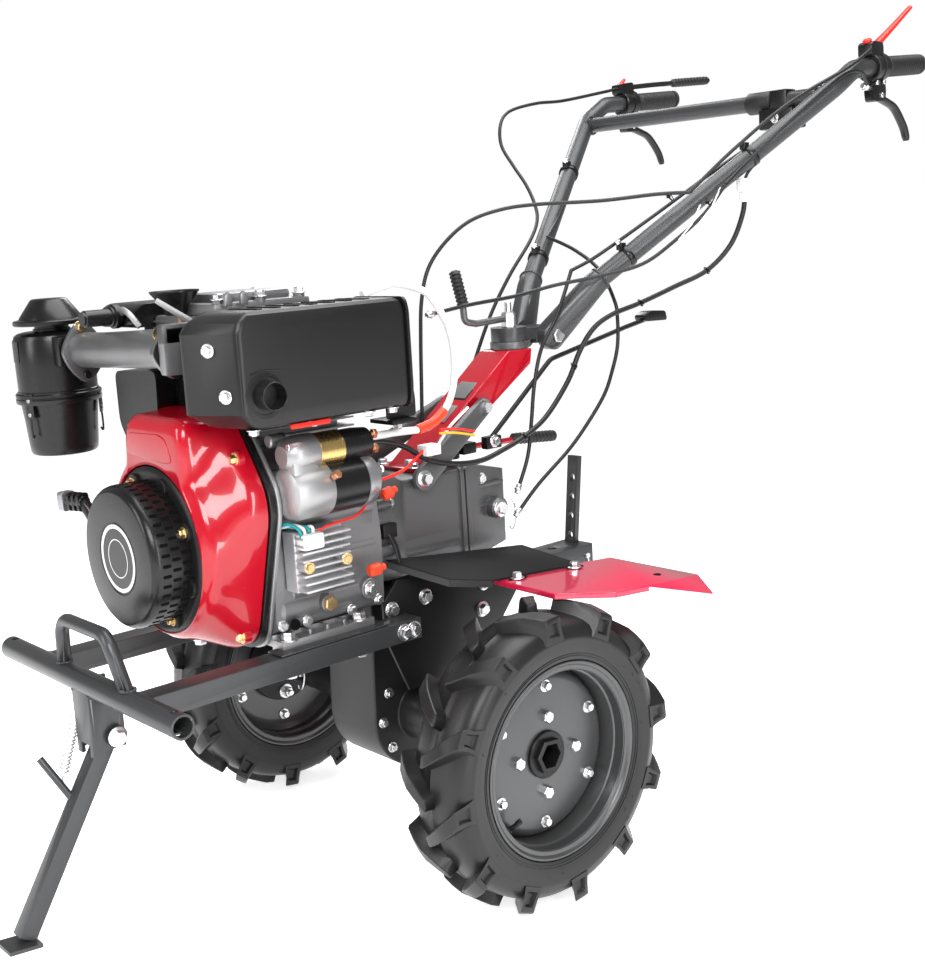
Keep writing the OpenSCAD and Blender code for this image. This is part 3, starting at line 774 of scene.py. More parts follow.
COWL_MIDDLE = np.array([0, CRANK_Z + 6.0])
COWL_STEPS = [(302.6, 0, -3), (304.5, 0, 0), (324, 0, 0), (333, 0.16, 0), (343, 0.38, 0), (353, 0.60, 0),
              (363, 0.80, 0), (371, 0.95, 0), (376, 1.0, -0.5), (381, 1.0, -3), (385, 1.0, -7),
              (388, 1.0, -12)]


def front_shape(angles):
    """Outline of the cowling's front: the round lip with the flat panel standing above it."""
    lip_r, panel_top, panel_left, panel_right = 132.0, 508, 92, 64
    radii = []
    for a in angles:
        reach = 0.0
        if sin(a) > 0.2:
            limits = [(panel_top - COWL_MIDDLE[1]) / sin(a)]
            if cos(a) > 1e-6:
                limits.append(panel_left / cos(a))
            if cos(a) < -1e-6:
                limits.append(-panel_right / cos(a))
            reach = min(limits)
        radii.append(max(lip_r, reach))
    return np.array(radii)


def smooth_ring(values, passes):
    """Evens out a closed ring of radii."""
    for _ in range(passes):
        values = (np.roll(values, 1) + 2 * values + np.roll(values, -1)) / 4
    return values


SKIN_N = 192
SKIN_ANGLES = np.array([2 * pi * k / SKIN_N - pi for k in range(SKIN_N)])
SKIN_TOP = np.array([176 / max(0.02, sin(a)) for a in SKIN_ANGLES])
SKIN_BACK = smooth_ring(np.minimum(outline_at(cowl_outline(0), SKIN_ANGLES, COWL_MIDDLE), SKIN_TOP), 14)
SKIN_FRONT = smooth_ring(front_shape(SKIN_ANGLES), 9)


def cowl_radius(x):
    """Distance of the skin from the middle at x, for every direction."""
    xs = [q[0] for q in COWL_STEPS]
    mix = float(np.interp(x, xs, [q[1] for q in COWL_STEPS]))
    add = float(np.interp(x, xs, [q[2] for q in COWL_STEPS]))
    return (1 - mix) * SKIN_BACK + mix * SKIN_FRONT + add


def cowling():
    """Pressed fan cowling with its front ring, blank panel and bolts."""
    p = Piece("fan_cowling_shell")
    rings = []
    for x, _, _ in COWL_STEPS:
        rings.append([(x, r * cos(a), COWL_MIDDLE[1] + r * sin(a))
                      for a, r in zip(SKIN_ANGLES, cowl_radius(x))])
    face = cowl_radius(388)
    for x, t in ((389.4, 0.2), (389.8, 0.6), (389.4, 0.9), (388, 1.0), (332, 1.0)):
        rings.append([(x, ((1 - t) * r + t * 117) * cos(a),
                       CRANK_Z + 6 * (1 - t) + ((1 - t) * r + t * 117) * sin(a))
                      for a, r in zip(SKIN_ANGLES, face)])
    rings.append([(303, r * 0.9 * cos(a), CRANK_Z + r * 0.9 * sin(a))
                  for a, r in zip(SKIN_ANGLES, SKIN_BACK)])
    p.loft(rings, "red", caps=False)
    # blank pressed panel on the front, its right edge running down beside the ring
    panel = soft_outline([(-46, 484), (34, 487), (52, 482), (66, 452), (50, 449), (-52, 455)], 6, 5)
    p.prism(panel, (388.6, 0, 0), Y, Z, 2.2, "red", 1.6, 3)
    for y, z in ((118, 452), (96, 207), (-112, 452), (-76, 204)):
        p.disc((318, y, z), X, 11, 9, "red")
        p.bolt((327, y, z), X, 11, "gold_zinc", True, 6.5)
    p.done("chassis", ("fan_cowling",), angle=40)


def obround_slot(p, x, angle, length, width, r, kind="void"):
    """Dark slot in a drum's side, its length along the drum's axis."""
    out = vec(0, cos(angle), sin(angle))
    side = vec(0, -sin(angle), cos(angle))
    centre = vec(x, 0, CRANK_Z) + out * (r - 1.5)
    outline = []
    for k in range(16):
        a = 2 * pi * k / 16
        shift = (length - width) / 2 * (1 if cos(a) > 0 else -1)
        outline.append((shift + width / 2 * cos(a), width / 2 * sin(a)))
    p.prism(outline, centre, X, side, -1.9, kind, 0)


def recoil():
    """Drum with slots in its side, a blank badge and the pull handle."""
    p = Piece("recoil_drum")
    c = (0, 0, CRANK_Z)
    x_axis = X
    # ring behind the drum
    p.lathe(c, x_axis, [(331, 80), (331, 115), (384, 115.4), (388, 114.5), (390.5, 111), (391, 106),
                        (391, 80)], "black", 96)
    drum = [(390, 96), (392, 96.6), (414, RECOIL_R), (436, RECOIL_R), (440, 96), (444, 93.4), (446.4, 90.6),
            (447, 88), (447, 50), (446, 48.6), (446, 0)]
    p.lathe(c, x_axis, drum, "plastic", 112)
    # scalloped lobes round the foot of the drum
    for k in range(8):
        a = radians(22.5 + 45 * k)
        at = vec(391, 97 * cos(a), CRANK_Z + 97 * sin(a))
        p.disc(at, x_axis, 13, 5, "black", 28)
        if k % 2 == 0:
            p.bolt(at + vec(5, 0, 0), x_axis, 10, "gold_zinc", True, 6)
    for row, x in enumerate((399, 413.5, 428)):
        for k in range(44):
            a = 2 * pi * (k + 0.5 * (row % 2)) / 44
            if abs(math.degrees(a) - 158) > 24:
                obround_slot(p, x, a, 12.4, 4.6, RECOIL_R)
    # blank badge: a plain light ring on a dark disc
    p.disc((445.6, 0, CRANK_Z), x_axis, 48, 1.2, "plastic", 64)
    p.lathe(c, x_axis, [(446.5, 40.6), (447, 41), (447, 46), (446.5, 46.4)], "white", 72)
    p.lathe(c, x_axis, [(446.5, 25), (447, 25.3), (447, 26.4), (446.5, 26.7)], "white", 72)
    rope_guide(p)
    p.done("chassis", ("recoil_starter",), angle=30)


def rope_guide(p):
    """Housing for the rope at the drum's side, and the pull handle parked in it."""
    rings = []
    for t in np.linspace(0, 1, 9):
        y, z = -60 - 46 * t, 360 + 16 * t
        r = 40 - 20 * t
        rings.append([(400.5 + (31 - 5 * t) * (0.5 + 0.5 * cos(b)) , y + 0.25 * r * cos(b),
                       z + r * sin(b)) for b in np.linspace(-pi, pi, 24, endpoint=False)])
    p.loft(rings, "black")
    # pull handle: neck, ribbed body and a broad square end
    neck = vec(428, -96, 362.0)
    body = vec(436, -112, 388.0)
    tip = vec(442, -156, 386.0)
    p.sweep(spline([neck, (430, -104, 374), body]), [10, 9, 9, 9, 9, 9, 9, 9, 9, 9, 9, 9, 9.5], "plastic", 20)
    axis = unit(tip - body)
    side = unit(np.cross(axis, Z))
    for k in range(6):
        at = body + axis * (6 * k - 4)
        p.prism(soft_outline([(-9, -13), (9, -13), (9, 13), (-9, 13)], 5, 4), at, side, np.cross(side, axis),
                4.4 if k % 2 else -4.4, "plastic", 1.2)
        p.rod(at - axis * 3, at + axis * 4, 9, "plastic", 20)
    p.prism(soft_outline([(-11, -14), (11, -14), (11, 14), (-11, 14)], 5, 4), tip - axis * 12, side,
            np.cross(side, axis), -13, "label", 3, 3)


def engine_core():
    """Crankcase, finned cylinder and feet."""
    dress("engine_base", "alloy", bevel=2.5, segments=3)
    feet = Piece("engine_feet_bolts")
    for x in (150, 270):
        for y in (-120, 120):
            feet.bolt((x, y, RAIL_TOP + 14), Z, 17, height=9)
            feet.bolt((x, y, RAIL_TOP - 30), (0, 0, -1), 17, height=9)
            feet.disc((x, y, RAIL_TOP + 13), Z, 14, 1.6, "alloy")
    for x in (176, 205, 234):
        feet.box((x, 103, RAIL_TOP + 12), (x + 5, 126, RAIL_TOP + 21), "alloy", 1.5)
    feet.done("chassis")
    p = Piece("engine_block_casting")
    p.lathe((99.4, 0, CRANK_Z), X, [(1, 0), (1, 112), (4, 116), (14, 119.5), (40, 119.5), (186, 119.5),
                                            (186, 0)], "dull_alloy", 72)
    sump = soft_outline([(-108, 202), (118, 202), (122, 300), (114, 386), (-106, 386), (-112, 300)], 18, 6)
    p.loft([[(x, y, z) for y, z in sump] for x in (101, 285.5)], "dull_alloy")
    for a, b, r in (((112, 104, 232), (280, 104, 232), 20), ((150, 100, 256), (262, 100, 256), 22),
                    ((104, 98, 300), (180, 98, 300), 24), ((104, 96, 352), (284, 96, 352), 24)):
        p.rod(a, b, r, "dull_alloy", 48, 7)
    for x in (122, 172, 224, 276):
        p.rod((x, 96, 208), (x, 96, 380), 15, "dull_alloy", 36, 5)
    p.rod((262, 126, 214), (262, 129.5, 214), 8, "void", 28)
    p.box((126, -74, 380), (264, 74, 600), "alloy", 6)
    for k in range(13):
        z = 452 + 11.6 * k
        p.box((110, -90, z), (280, 90, z + 3.2), "alloy", 1.2)
    # dipstick plug, oil drain and filter cover on the left of the sump
    p.rod((206, 118, 232), (206, 132, 232), 12, "dull_alloy", 32)
    p.bolt((206, 131, 232), Y, 19, "gold_zinc", False, 8)
    p.rod((132, 116, 236), (132, 130, 236), 15, "dull_alloy", 32)
    p.bolt((132, 129, 236), Y, 13, height=7)
    for x, z in ((112, 214), (160, 210), (236, 212), (276, 214), (276, 372)):
        p.bolt((x, 119, z), Y, 10, height=5)
    # right side: injection pump cover and oil filler
    p.box((176, -132, 232), (268, -104, 330), "dull_alloy", 7)
    p.rod((222, -128, 282), (222, -146, 282), 24, "dull_alloy", 40, 4)
    p.rod((150, -106, 344), (150, -136, 350), 16, "plastic", 32, 3)
    for x, z in ((186, 242), (258, 242), (186, 320), (258, 320)):
        p.bolt((x, -132, z), (0, -1, 0), 10, height=5)
    p.done("chassis", ("engine_block",), angle=30)
    plate = Piece("fan_housing_plates")
    inner, outer = cowl_outline(6), cowl_outline(3.5)
    for outline, x, h, kind in ((inner, 286.2, 6.2, "alloy"), (outer, 292.6, 9.8, "plastic")):
        plate.prism([(y, z) for y, z in outline], (x, 0, 0), Y, Z, h, kind, 1.2)
    plate.done("chassis", ("fan_housing_plate",), angle=30)


def head():
    """Head casting, rocker cover and the copper strip."""
    p = Piece("cylinder_head_casting")
    p.box((130, -90, 600.4), (310, 70, 634), "alloy", 5)
    for k in range(3):
        p.box((126, -92, 606 + 9 * k), (312, 72, 609 + 9 * k), "alloy", 1)
    p.box((288, 76, 602), (400, 93, 632), "dull_alloy", 6)
    p.box((312, 76, 566.4), (400, 93, 632), "dull_alloy", 6)
    # rocker cover with its nuts and lifting ears
    p.box((148, -70, 634), (302, 60, 650), "dull_alloy", 5)
    p.box((168, -52, 648), (282, 42, 662), "dull_alloy", 6)
    for x, y in ((160, 50), (290, 50), (160, -60), (290, -60), (225, 52)):
        p.rod((x, y, 630), (x, y, 654), 8, "dull_alloy", 24)
        p.bolt((x, y, 654), Z, 12, height=7)
    for x in (262, 286):
        p.prism([(-6, 0), (6, 0), (5, 14), (0, 19), (-5, 14)], (x, 66, 646), X, Z, -6,
                "alloy", 1.5)
    # bracket with a copper strip beside the filler cup
    p.prism([(0, 0), (46, -32), (50, -40), (44, -42), (-4, -6)], (352, 0, 662), (-1, 0.35, 0), Z, 4,
            "alloy", 1)
    p.sweep([(318, -6, 622), (317, -8, 640), (316, -12, 654)], 4, "copper", 8, 0.35)
    p.done("chassis", ("cylinder_head",), angle=30)


MUFFLER_PLAN = [(104, 95), (366, 95), (398, 130), (401, 140), (366, 213), (104, 213)]


def muffler():
    """Box muffler with a chamfered front corner, bolts on the chamfer and a short outlet."""
    p = Piece("muffler_box")
    plan = soft_outline(MUFFLER_PLAN, 7, 4)
    rings = []
    for z, low, shrink in ((499, 34, 7), (502, 28, 3), (508, 20, 1), (520, 0, 0), (620, 0, 0), (632, 8, 1),
                           (640, 22, 4), (644, 32, 9)):
        ring = []
        for x, y in plan:
            cut = low * max(0.0, min(1.0, (x - 330) / 70))
            ring.append((min(x - cut, 401) + (250 - x) * shrink / 150, y + (154 - y) * shrink / 60, z))
        rings.append(ring)
    p.loft(rings, "muffler")
    # outlet tube with a pressed seat, weld seams and creases
    p.lathe((OUTLET_X, 213, OUTLET_Z), Y, [(-2, 30), (0.4, 28), (0.8, 24), (-4, 21), (-4, 0)], "muffler", 48)
    p.pipe((OUTLET_X, 205, OUTLET_Z), (OUTLET_X, 236, OUTLET_Z), 18, 16.4, "muffler", 48)
    p.disc((OUTLET_X, 207, OUTLET_Z), Y, 16.4, 1, "void")
    p.weld([(308, 213, 569), (333, 213.2, 572), (352, 213, 569)], 1.3, "muffler")
    p.sweep([(366, 212.4, 520), (366, 212.8, 570), (366, 212.4, 620)], 1.1, "muffler", 8)
    across = unit((35, -73, 0))
    out = unit((73, 35, 0))
    middle = vec(383.5, 176.5, 0)
    for a, z in ((3, 600), (-17, 543)):
        p.bolt(middle + across * a + out * 0.4 + vec(0, 0, z), out, 11, height=6)
    # rear lip and the bottom seam with bolts
    rear = soft_outline([(96, 497), (212, 497), (216, 520), (216, 628), (210, 645), (96, 645)], 12, 5)
    p.loft([[(x, y, z) for y, z in rear] for x in (100, 104.5)], "muffler")
    for x in (346, 255, 166, 126):
        p.bolt((x, 200, 499), (0, 0, -1), 11, height=6)
    p.box((236, 206, 493), (296, 210, 499), "red_plastic", 1)
    for k in range(7):
        x = 140 + 28 * k
        p.box((x, 118, 643.5), (x + 9, 184, 645.2), "void", 0.4)
    strap = soft_outline([(102, 604), (72, 600), (60, 560), (50, 502), (50, 474), (102, 474)], 6, 4)
    p.prism(strap, (0, 156, 0), X, Z, 3, "black", 1)
    p.box((60, 118, 468), (104, 170, 474), "black", 1.5)
    p.bolt((82, 152, 468), (0, 0, -1), 12, height=7)
    p.bolt((80, 156, 584), Y, 10, height=6)
    p.done("chassis", ("muffler",), angle=28)


def air_cleaner():
    """Canister, bowl, rain cap, blank label and latches."""
    p = Piece("air_cleaner_canister")
    c, up = (CLEANER_X, CLEANER_Y, 0), Z
    cap = [(622, 0), (622, 55), (623.5, 56), (628, 56), (629.5, 54.5), (631, 47), (635, 45), (659, 27.5),
           (660.4, 25.4), (661, 23), (661, 0)]
    p.lathe(c, up, cap, "plastic", 64)
    neck = [(604, 25), (612, 25), (613, 28), (616, 28), (617, 25.5), (620, 25.5), (621, 28), (624, 28)]
    p.lathe(c, up, neck, "plastic", 48)
    body = [(516, 60), (518, 60.5), (523, 60.5), (524, 59), (560, 59.4), (600, 59), (607, 56.5), (610.5, 51),
            (612, 44), (612, 0)]
    p.lathe(c, up, body, "plastic", 72)
    p.lathe(c, up, [(505, 57), (505, 63), (507, 64), (512, 64), (513, 62), (514, 62), (515, 64), (519, 64),
                    (520.5, 62.5), (520.5, 57)], "plastic", 72)
    bowl = [(425, 0), (425, 44), (426.5, 48), (430, 50.3), (440, 51.4), (480, 54.6), (505, 57.5)]
    p.lathe(c, up, bowl, "plastic", 72)
    for k in range(20):
        a = 2 * pi * k / 20
        out = vec(cos(a), sin(a), 0)
        at = vec(CLEANER_X, CLEANER_Y, 626) + out * 50
        p.sweep([at, at + out * 3 + (0, 0, -1.5)], 1.6, "plastic", 8)
    rows = []
    for z in (569, 600):
        rows.append([(CLEANER_X + CLEANER_R * cos(t), CLEANER_Y + CLEANER_R * sin(t), z)
                     for t in np.linspace(-0.62, 0.1, 9)])
    p.add(rows[0] + rows[1], [(i, i + 1, i + 10, i + 9) for i in range(8)], "dark_case")
    # over-centre latches on the collar
    for a in (0.35, 0.35 + pi * 2 / 3, 0.35 + pi * 4 / 3):
        latch(p, a)
    p.done("chassis", ("air_cleaner",), angle=32)
    q = Piece("air_cleaner_outlet")
    q.prism([(-22, -24), (22, -24), (22, 24), (-22, 24)], (348, -272.4, 584), Z, X, -28,
            "plastic", 4)
    q.done("chassis")


def latch(p, a):
    """Wire clip with a hooked plate and two rivets, on the canister's side."""
    out = vec(cos(a), sin(a), 0)
    side = vec(-sin(a), cos(a), 0)
    c = vec(CLEANER_X, CLEANER_Y, 0)
    base = c + out * 60.8
    p.prism([(-8, 484), (8, 484), (8, 522), (-8, 522)], base, side, Z, 2, "dark_case", 0.8)
    for z in (491, 512):
        p.disc(base + vec(0, 0, z) + out * 2, out, 3.2, 1.8, "label", 16)
    hook = [c + out * 62 + vec(0, 0, 486), c + out * 62.4 + vec(0, 0, 470),
            c + out * 61.6 + vec(0, 0, 456), c + out * 58 + vec(0, 0, 460)]
    p.sweep(spline(hook), 1.6, "dark_case", 8)
    for s in (-5, 5):
        p.sweep([c + out * 62 + side * s + vec(0, 0, 520),
                 c + out * 62.6 + side * s + vec(0, 0, 488)], 1.3, "dark_case", 8)


def intake():
    """Cast elbow with a flange at each end."""
    p = Piece("intake_elbow_casting")
    route = [(372, 66, 598), (368, 30, 597), (360, -30, 594), (352, -110, 590), (346, -180, 587),
             (340, -240, 585), (338, -262, 584)]
    radii = [26, 26, 26, 25.5, 25.5, 26, 27]
    smooth = spline(route, 5)
    p.sweep(smooth, np.interp(np.linspace(0, 1, len(smooth)), np.linspace(0, 1, 7), radii), "iron", 40)
    # oval flanges with bolts at both ends
    oval_flange(p, (340, -262, 582), 46, 34, 8, "iron")
    oval_flange(p, (374, 62, 594), 34, 30, 9, "iron")
    oval_flange(p, (374, 72.2, 594), 34, 30, 2, "plate")
    for x, z in ((343, 618), (341, 547)):
        p.bolt((x, -256, z), Y, 12, "gold_zinc" if z > 600 else "black", True, 7)
    for x, z in ((386, 618), (378, 574)):
        p.bolt((x, 62, z), (0, -1, 0), 12, "gold_zinc", True, 7)
    p.sweep([(366, -30, 619), (360, -90, 616), (352, -170, 612)], 1.2, "alloy", 6)
    p.done("chassis", ("intake_elbow",), angle=30)
    air_duct()


def oval_flange(p, at, tall, wide, h, kind):
    """Two-bolt flange facing the side: a round middle with an ear above and below."""
    outline = []
    for k in range(56):
        a = 2 * pi * k / 56
        r = 1 / (abs(cos(a) / wide) ** 1.45 + abs(sin(a) / tall) ** 1.45) ** (1 / 1.45)
        outline.append((r * cos(a), r * sin(a)))
    p.prism(outline, at, X, Z, -h, kind, 1.2)


def air_duct():
    """Moulded duct, funnel cup and the guard on the right."""
    p = Piece("air_duct_moulding")
    top = soft_outline([(215, 619), (345, 619), (342, 642), (326, 652), (238, 652), (218, 642)], 12, 5)
    rings = []
    for y, s in ((-199, 0.9), (-194, 0.97), (-186, 1), (-96, 1), (-92, 0.985), (-90.6, 0.96)):
        rings.append([(280 + (x - 280) * s, y, 635 + (z - 635) * s) for x, z in top])
    p.loft(rings, "plastic")
    # concentric boss and neck on the front
    p.lathe((352, -128, 636), X, [(-6, 17), (2, 17), (3, 14), (6, 14), (7, 11.6), (44, 11.6), (45, 10),
                                          (48, 10), (48, 0)], "plastic", 40)
    p.sweep(spline([(346, -66, 622), (352, -78, 638), (352, -100, 646), (346, -112, 640)]), 4, "alloy", 10)
    # funnel cup on the head
    p.lathe((314, -20, 0), Z, [(636, 14), (648, 18), (664, 31), (667, 33.5), (669, 33.5), (669, 31.5),
                                       (664, 28), (648, 15), (640, 0)], "plastic", 48)
    # guard on the right of the cylinder, with louvres
    p.box((150, -180, 440), (280, -91, 598), "black", 8)
    p.box((215, -180, 590), (280, -92.4, 619), "black", 4)
    shroud = soft_outline([(-180, 556), (-60, 560), (-64, 500), (-104, 440), (-150, 440), (-180, 480)], 14, 5)
    p.loft([[(x, y, z) for y, z in shroud] for x in (281, 284, 330, 333)], "plastic")
    for k in range(7):
        p.box((170, -182.2, 462 + 18 * k), (262, -178, 468 + 18 * k), "void", 0.6)
    for x, z in ((160, 450), (270, 450), (160, 588), (270, 588)):
        p.bolt((x, -180, z), (0, -1, 0), 10, height=5)
    p.done("chassis", ("air_duct",), angle=32)


def starter():
    """Motor, solenoid and their flange, with the terminal caps."""
    p = Piece("starter_motor_body")
    # motor: nose, yoke and end cap
    y, z = 162, 402
    p.lathe((0, y, z), X, [(160, 0), (160, 36), (200, 36.8), (230, 36.8), (230, 0)], "plastic", 64)
    p.lathe((0, y, z), X, [(144, 0), (144, 25), (147, 31), (152, 35), (166, 37.4), (170, 37.4), (171, 34)],
            "label", 64)
    for a in (0.5, 0.5 + pi):
        at = vec(146, y + 27 * cos(a), z + 27 * sin(a))
        p.bolt(at, (-1, 0, 0), 9, height=5)
    p.rod((227, y + 34, z + 18), (227, y + 44, z + 23), 6, "copper", 6)
    # solenoid: silver nose, gold band, black cap
    y2, z2 = 164, 452
    p.lathe((0, y2, z2), X, [(238, 23), (237, 24), (199, 24), (198, 22.6)], "brass", 48)
    p.lathe((0, y2, z2), X, [(199, 22), (198, 22.8), (172, 22.8), (150, 20.5), (148, 17), (148, 0)],
            "plastic", 48)
    for dz in (-10, 10):
        p.rod((148, y2 + 4, z2 + dz), (132, y2 + 4, z2 + dz), 4, "copper", 16)
        p.rod((140, y2 + 4, z2 + dz), (134, y2 + 4, z2 + dz), 7, "copper", 6)
    p.lathe((0, y, z), X, [(225, 0), (225, 36), (228, 37.3), (270, 37.3), (282, 33), (285.8, 26),
                                   (285.8, 0)], "alloy", 64)
    p.lathe((0, y2, z2), X, [(238, 0), (238, 24), (241, 25.6), (268, 25.6), (279, 22), (285.8, 14),
                                     (285.8, 0)], "alloy", 56)
    p.box((240, 146, 402), (282, 186, 452), "alloy", 9)
    p.rod((262, y2 + 16, z2 + 14), (286, y2 + 16, z2 + 14), 5, "zinc", 6)
    for a, b in ((130, 420), (134, 470)):
        p.rod((262, a, b), (285.8, a, b), 9, "alloy", 24, 2)
        p.bolt((262, a, b), (-1, 0, 0), 12, height=7)
    p.box((190, 122.4, 384), (230, 140, 460), "dull_alloy", 3)
    # orange-red terminal caps behind the motor
    for at, axis, length in (((150, 152, 268), (-1, 0.1, 0.1), 20), ((94, 122, 362), (-1, 0.1, 0.3), 18)):
        at, axis = np.array(at, float), unit(np.array(axis, float))
        p.rod(at, at + axis * length, 9, "orange", 28, 3)
        p.rod(at + axis * length * 0.8, at + axis * (length + 7), 5, "orange", 20, 1)
    p.done("chassis", ("starter_motor",), angle=32)
    regulator()


def regulator():
    """Finned block on the crankcase with its plug, wires and two gold bolts."""
    p = Piece("voltage_regulator_case")
    p.box((188, 122.4, 262), (268, 150, 345), "bright_alloy", 3)
    for k in range(8):
        z = 265 + 10.3 * k
        p.box((189, 148, z), (267, 168 if 2 <= k <= 5 else 171, z + 3.2), "bright_alloy", 0.8)
    for x in (197, 259):
        p.rod((x, 150, 299), (x, 169, 299), 8, "bright_alloy", 28, 1)
        p.bolt((x, 169, 299), Y, 10, "gold_zinc", True, 3)
    p.box((232, 150, 322), (266, 171.6, 344), "white", 5)
    for k, kind in enumerate(("teal", "white", "teal", "white")):
        loop = [(262 - 6 * k, 160, 336), (268 - 7 * k, 164, 352), (278 - 8 * k, 152, 360 - 3 * k),
                (284 - 5 * k, 132, 352)]
        p.sweep(spline(loop), 2.4, kind, 8)
    wire = [(236, 160, 344), (214, 164, 350), (170, 158, 352), (140, 150, 366), (128, 146, 380)]
    p.sweep(spline(wire), 1.8, "red_plastic", 8)
    p.done("chassis", ("voltage_regulator",), angle=32)


# ---- transmission and column ----

def transmission():
    """Gearbox, rear cover, final drive and mount plates."""
    dress("gearbox", "gearbox", bevel=5, segments=3)
    dress("gearbox_rear_cover", "gearbox", bevel=4, segments=3)
    dress("final_drive_case", "dark_case", bevel=4, segments=3)
    dress("mount_plates", "black", bevel=1)
    p = Piece("gearbox_details")
    # dark joint and raised flange round the rear cover, ribs, boss and bolts
    rim_line = [(-74, 220), (78, 220), (78, 369), (-74, 369)]
    for x, h, kind, grow in ((-101.4, 2.2, "void", 0.6), (-110, 8, "gearbox", 2.2), (-99, 8, "gearbox", 2.2)):
        swell = 1 + grow / 90
        outline = soft_outline([(y * swell, 295 + (z - 295) * swell) for y, z in rim_line], 14, 5)
        p.prism(outline, (x, 0, 0), Y, Z, h, kind, 1)
    for y, z in ((66, 236), (66, 290), (66, 352), (-62, 236), (-62, 290), (-62, 352), (0, 360), (0, 232)):
        p.bolt((-110, y, z), (-1, 0, 0), 12, height=7)
    for z in (300, 332):
        p.prism([(-108, -3), (-186, -3), (-186, 3), (-108, 3)], (0, 60, z), X, Z, -14,
                "gearbox", 2)
    p.rod((-165, 70, 293), (-165, 88, 293), 17, "gearbox", 40, 3)
    p.bolt((-165, 87, 293), Y, 17, height=8)
    p.bolt((-140, 71, 343), Y, 12, height=6)
    for side in (1, -1):
        p.rod((-98, side * 42, 262), (86, side * 42, 262), 36.4, "gearbox", 64, 12)
        p.rod((-98, side * 46, 330), (20, side * 46, 330), 30, "gearbox", 56, 10)
    for k in range(10):
        a = 2 * pi * (k + 0.5) / 10
        at = vec(90, 2 + 110 * cos(a), 312 + 110 * sin(a))
        if at[2] > 214:
            p.rod(at - (16, 0, 0), at + (8, 0, 0), 9, "gearbox", 24, 2)
            p.bolt(at - (16, 0, 0), (-1, 0, 0), 12, height=7)
    # breather and clutch arm on the bell
    p.rod((-40, 20, 366), (-40, 20, 384), 7, "zinc", 20)
    p.box((66, 92, 296), (92, 116, 318), "black", 3)
    p.sweep([(80, 112, 306), (76, 122, 286), (72, 124, 262)], 5, "black", 10, 0.5)
    clip = [(-206, 68, 300), (-210, 72, 284), (-208, 74, 262), (-200, 74, 250), (-194, 74, 256)]
    p.sweep(spline(clip), 1.4, "zinc", 8)
    for x, z in ((84, 190), (84, 164), (-150, 186), (-92, 150), (20, 196)):
        for s in (-1, 1):
            p.bolt((x, s * 112, z), (0, s, 0), 15, height=8)
    for k in range(10):
        a = 2 * pi * k / 10
        for s in (-1, 1):
            p.bolt((74 * cos(a), s * 58, 74 * sin(a)), (0, s, 0), 10, height=6)
    p.rod((0, 0, -86), (0, 0, -92), 12, "dark_case", 24)
    p.bolt((0, 0, -91), (0, 0, -1), 14, "zinc", False, 6)
    p.done("chassis")


def column():
    """Red column, its blank plates, saddle and swivel teeth."""
    dress("handlebar_column", "red", bevel=3, segments=4)
    dress("column_struts", "gearbox", bevel=1)
    dress("swivel_plate", "gearbox", bevel=1)
    p = Piece("column_fittings")
    # blank plate on the side, saddle on the gearbox, bolts
    slope = unit(vec(-120.0, 0, 87.0))
    above = unit(vec(87.0, 0, 120.0))
    for at, long, half, kind in ((20, 38, 18, "label"), (72, 66, 23, "plate"), (75, 60, 20, "label")):
        middle = vec(-100.0, 0, 420.0) + slope * at - above * (0.6 if kind == "plate" else 0.2)
        p.prism([(0, -half), (long, -half), (long, half), (0, half)], middle, slope, Y, 1.5, kind, 0.5)
    p.box((-104, -44, 367.2), (-24, 44, 374), "red", 2)
    for x in (-96, -34):
        for y in (-38, 38):
            p.bolt((x, y, 374), Z, 12, height=6)
    for s in (-1, 1):
        p.bolt((-176, s * 50, 450), (0, s, 0), 16, height=9)
        p.bolt((-10, s * 92, 367), (0, s, 0), 16, height=9)
    p.weld([(-36, 34, 368), (-120, 34.4, 432), (-205, 34.4, 496)], 1.2, "red")
    head = vec(-284, 0, 530)
    for k in range(15):
        a = radians(100 + 160 * k / 14)
        at = head + vec(31 * cos(a), 31 * sin(a), 9.5)
        out = vec(cos(a), sin(a), 0)
        p.prism([(-2.2, -3), (2.2, -3), (2.2, 3), (-2.2, 3)], at, np.cross(Z, out), Z, 3,
                "gearbox", 0.6)
    p.done("chassis")
    levers()


def levers():
    """Clamp lever, shift lever and selector lever."""
    p = Piece("clamp_lever_crank")
    head = vec(-284, 0, 0)
    p.lathe(head, Z, [(566, 0), (566, 12), (586, 12), (590, 10), (590, 0)], "zinc", 6)
    p.rod(head + (0, 0, 588), head + (0, 0, 606), 6, "zinc", 20)
    arm = rounded([head + (6, 0, 580), head + (72, 0, 577), head + (96, 0, 582), head + (98, 0, 612)], 12, 8)
    p.sweep(arm, 5.5, "gearbox", 20)
    a, b = head + vec(97, 0, 608), head + vec(112, 0, 664)
    ribbed_grip(p, a, b, 8.2, 9.8, 9)
    p.done("chassis", ("clamp_lever",), angle=40)
    q = Piece("shift_lever_rod")
    q.rod((-145, 0, 367.5), (-145, 0, 387), 12, "black", 32)
    q.sweep([(-146, 0, 381), (-210, 0, 380), (-290, 0, 378)], 5, "red", 16)
    q.box((-186, -14, 372), (-158, 14, 390), "black", 2)
    ribbed_grip(q, vec(-276.0, 0, 380), vec(-380.0, 0, 371), 8.5, 10, 12)
    q.done("chassis", ("shift_lever",), angle=40)
    r = Piece("selector_lever_rod")
    bar = rounded([(-180, 56, 400), (-320, 57, 510), (-500, 58, 545), (-590, 58, 560)], 30, 8)
    r.sweep(bar, 4, "black", 14)
    r.prism(soft_outline([(-602, 550), (-545, 552), (-542, 562), (-560, 569), (-598, 567)], 6, 5), (0, 70, 0),
            X, Z, 24, "plastic", 3)
    r.box((-196, 50, 384), (-164, 64, 404), "black", 2)
    r.bolt((-180, 64, 396), Y, 12, height=7)
    r.done("chassis", ("selector_lever",), angle=40)


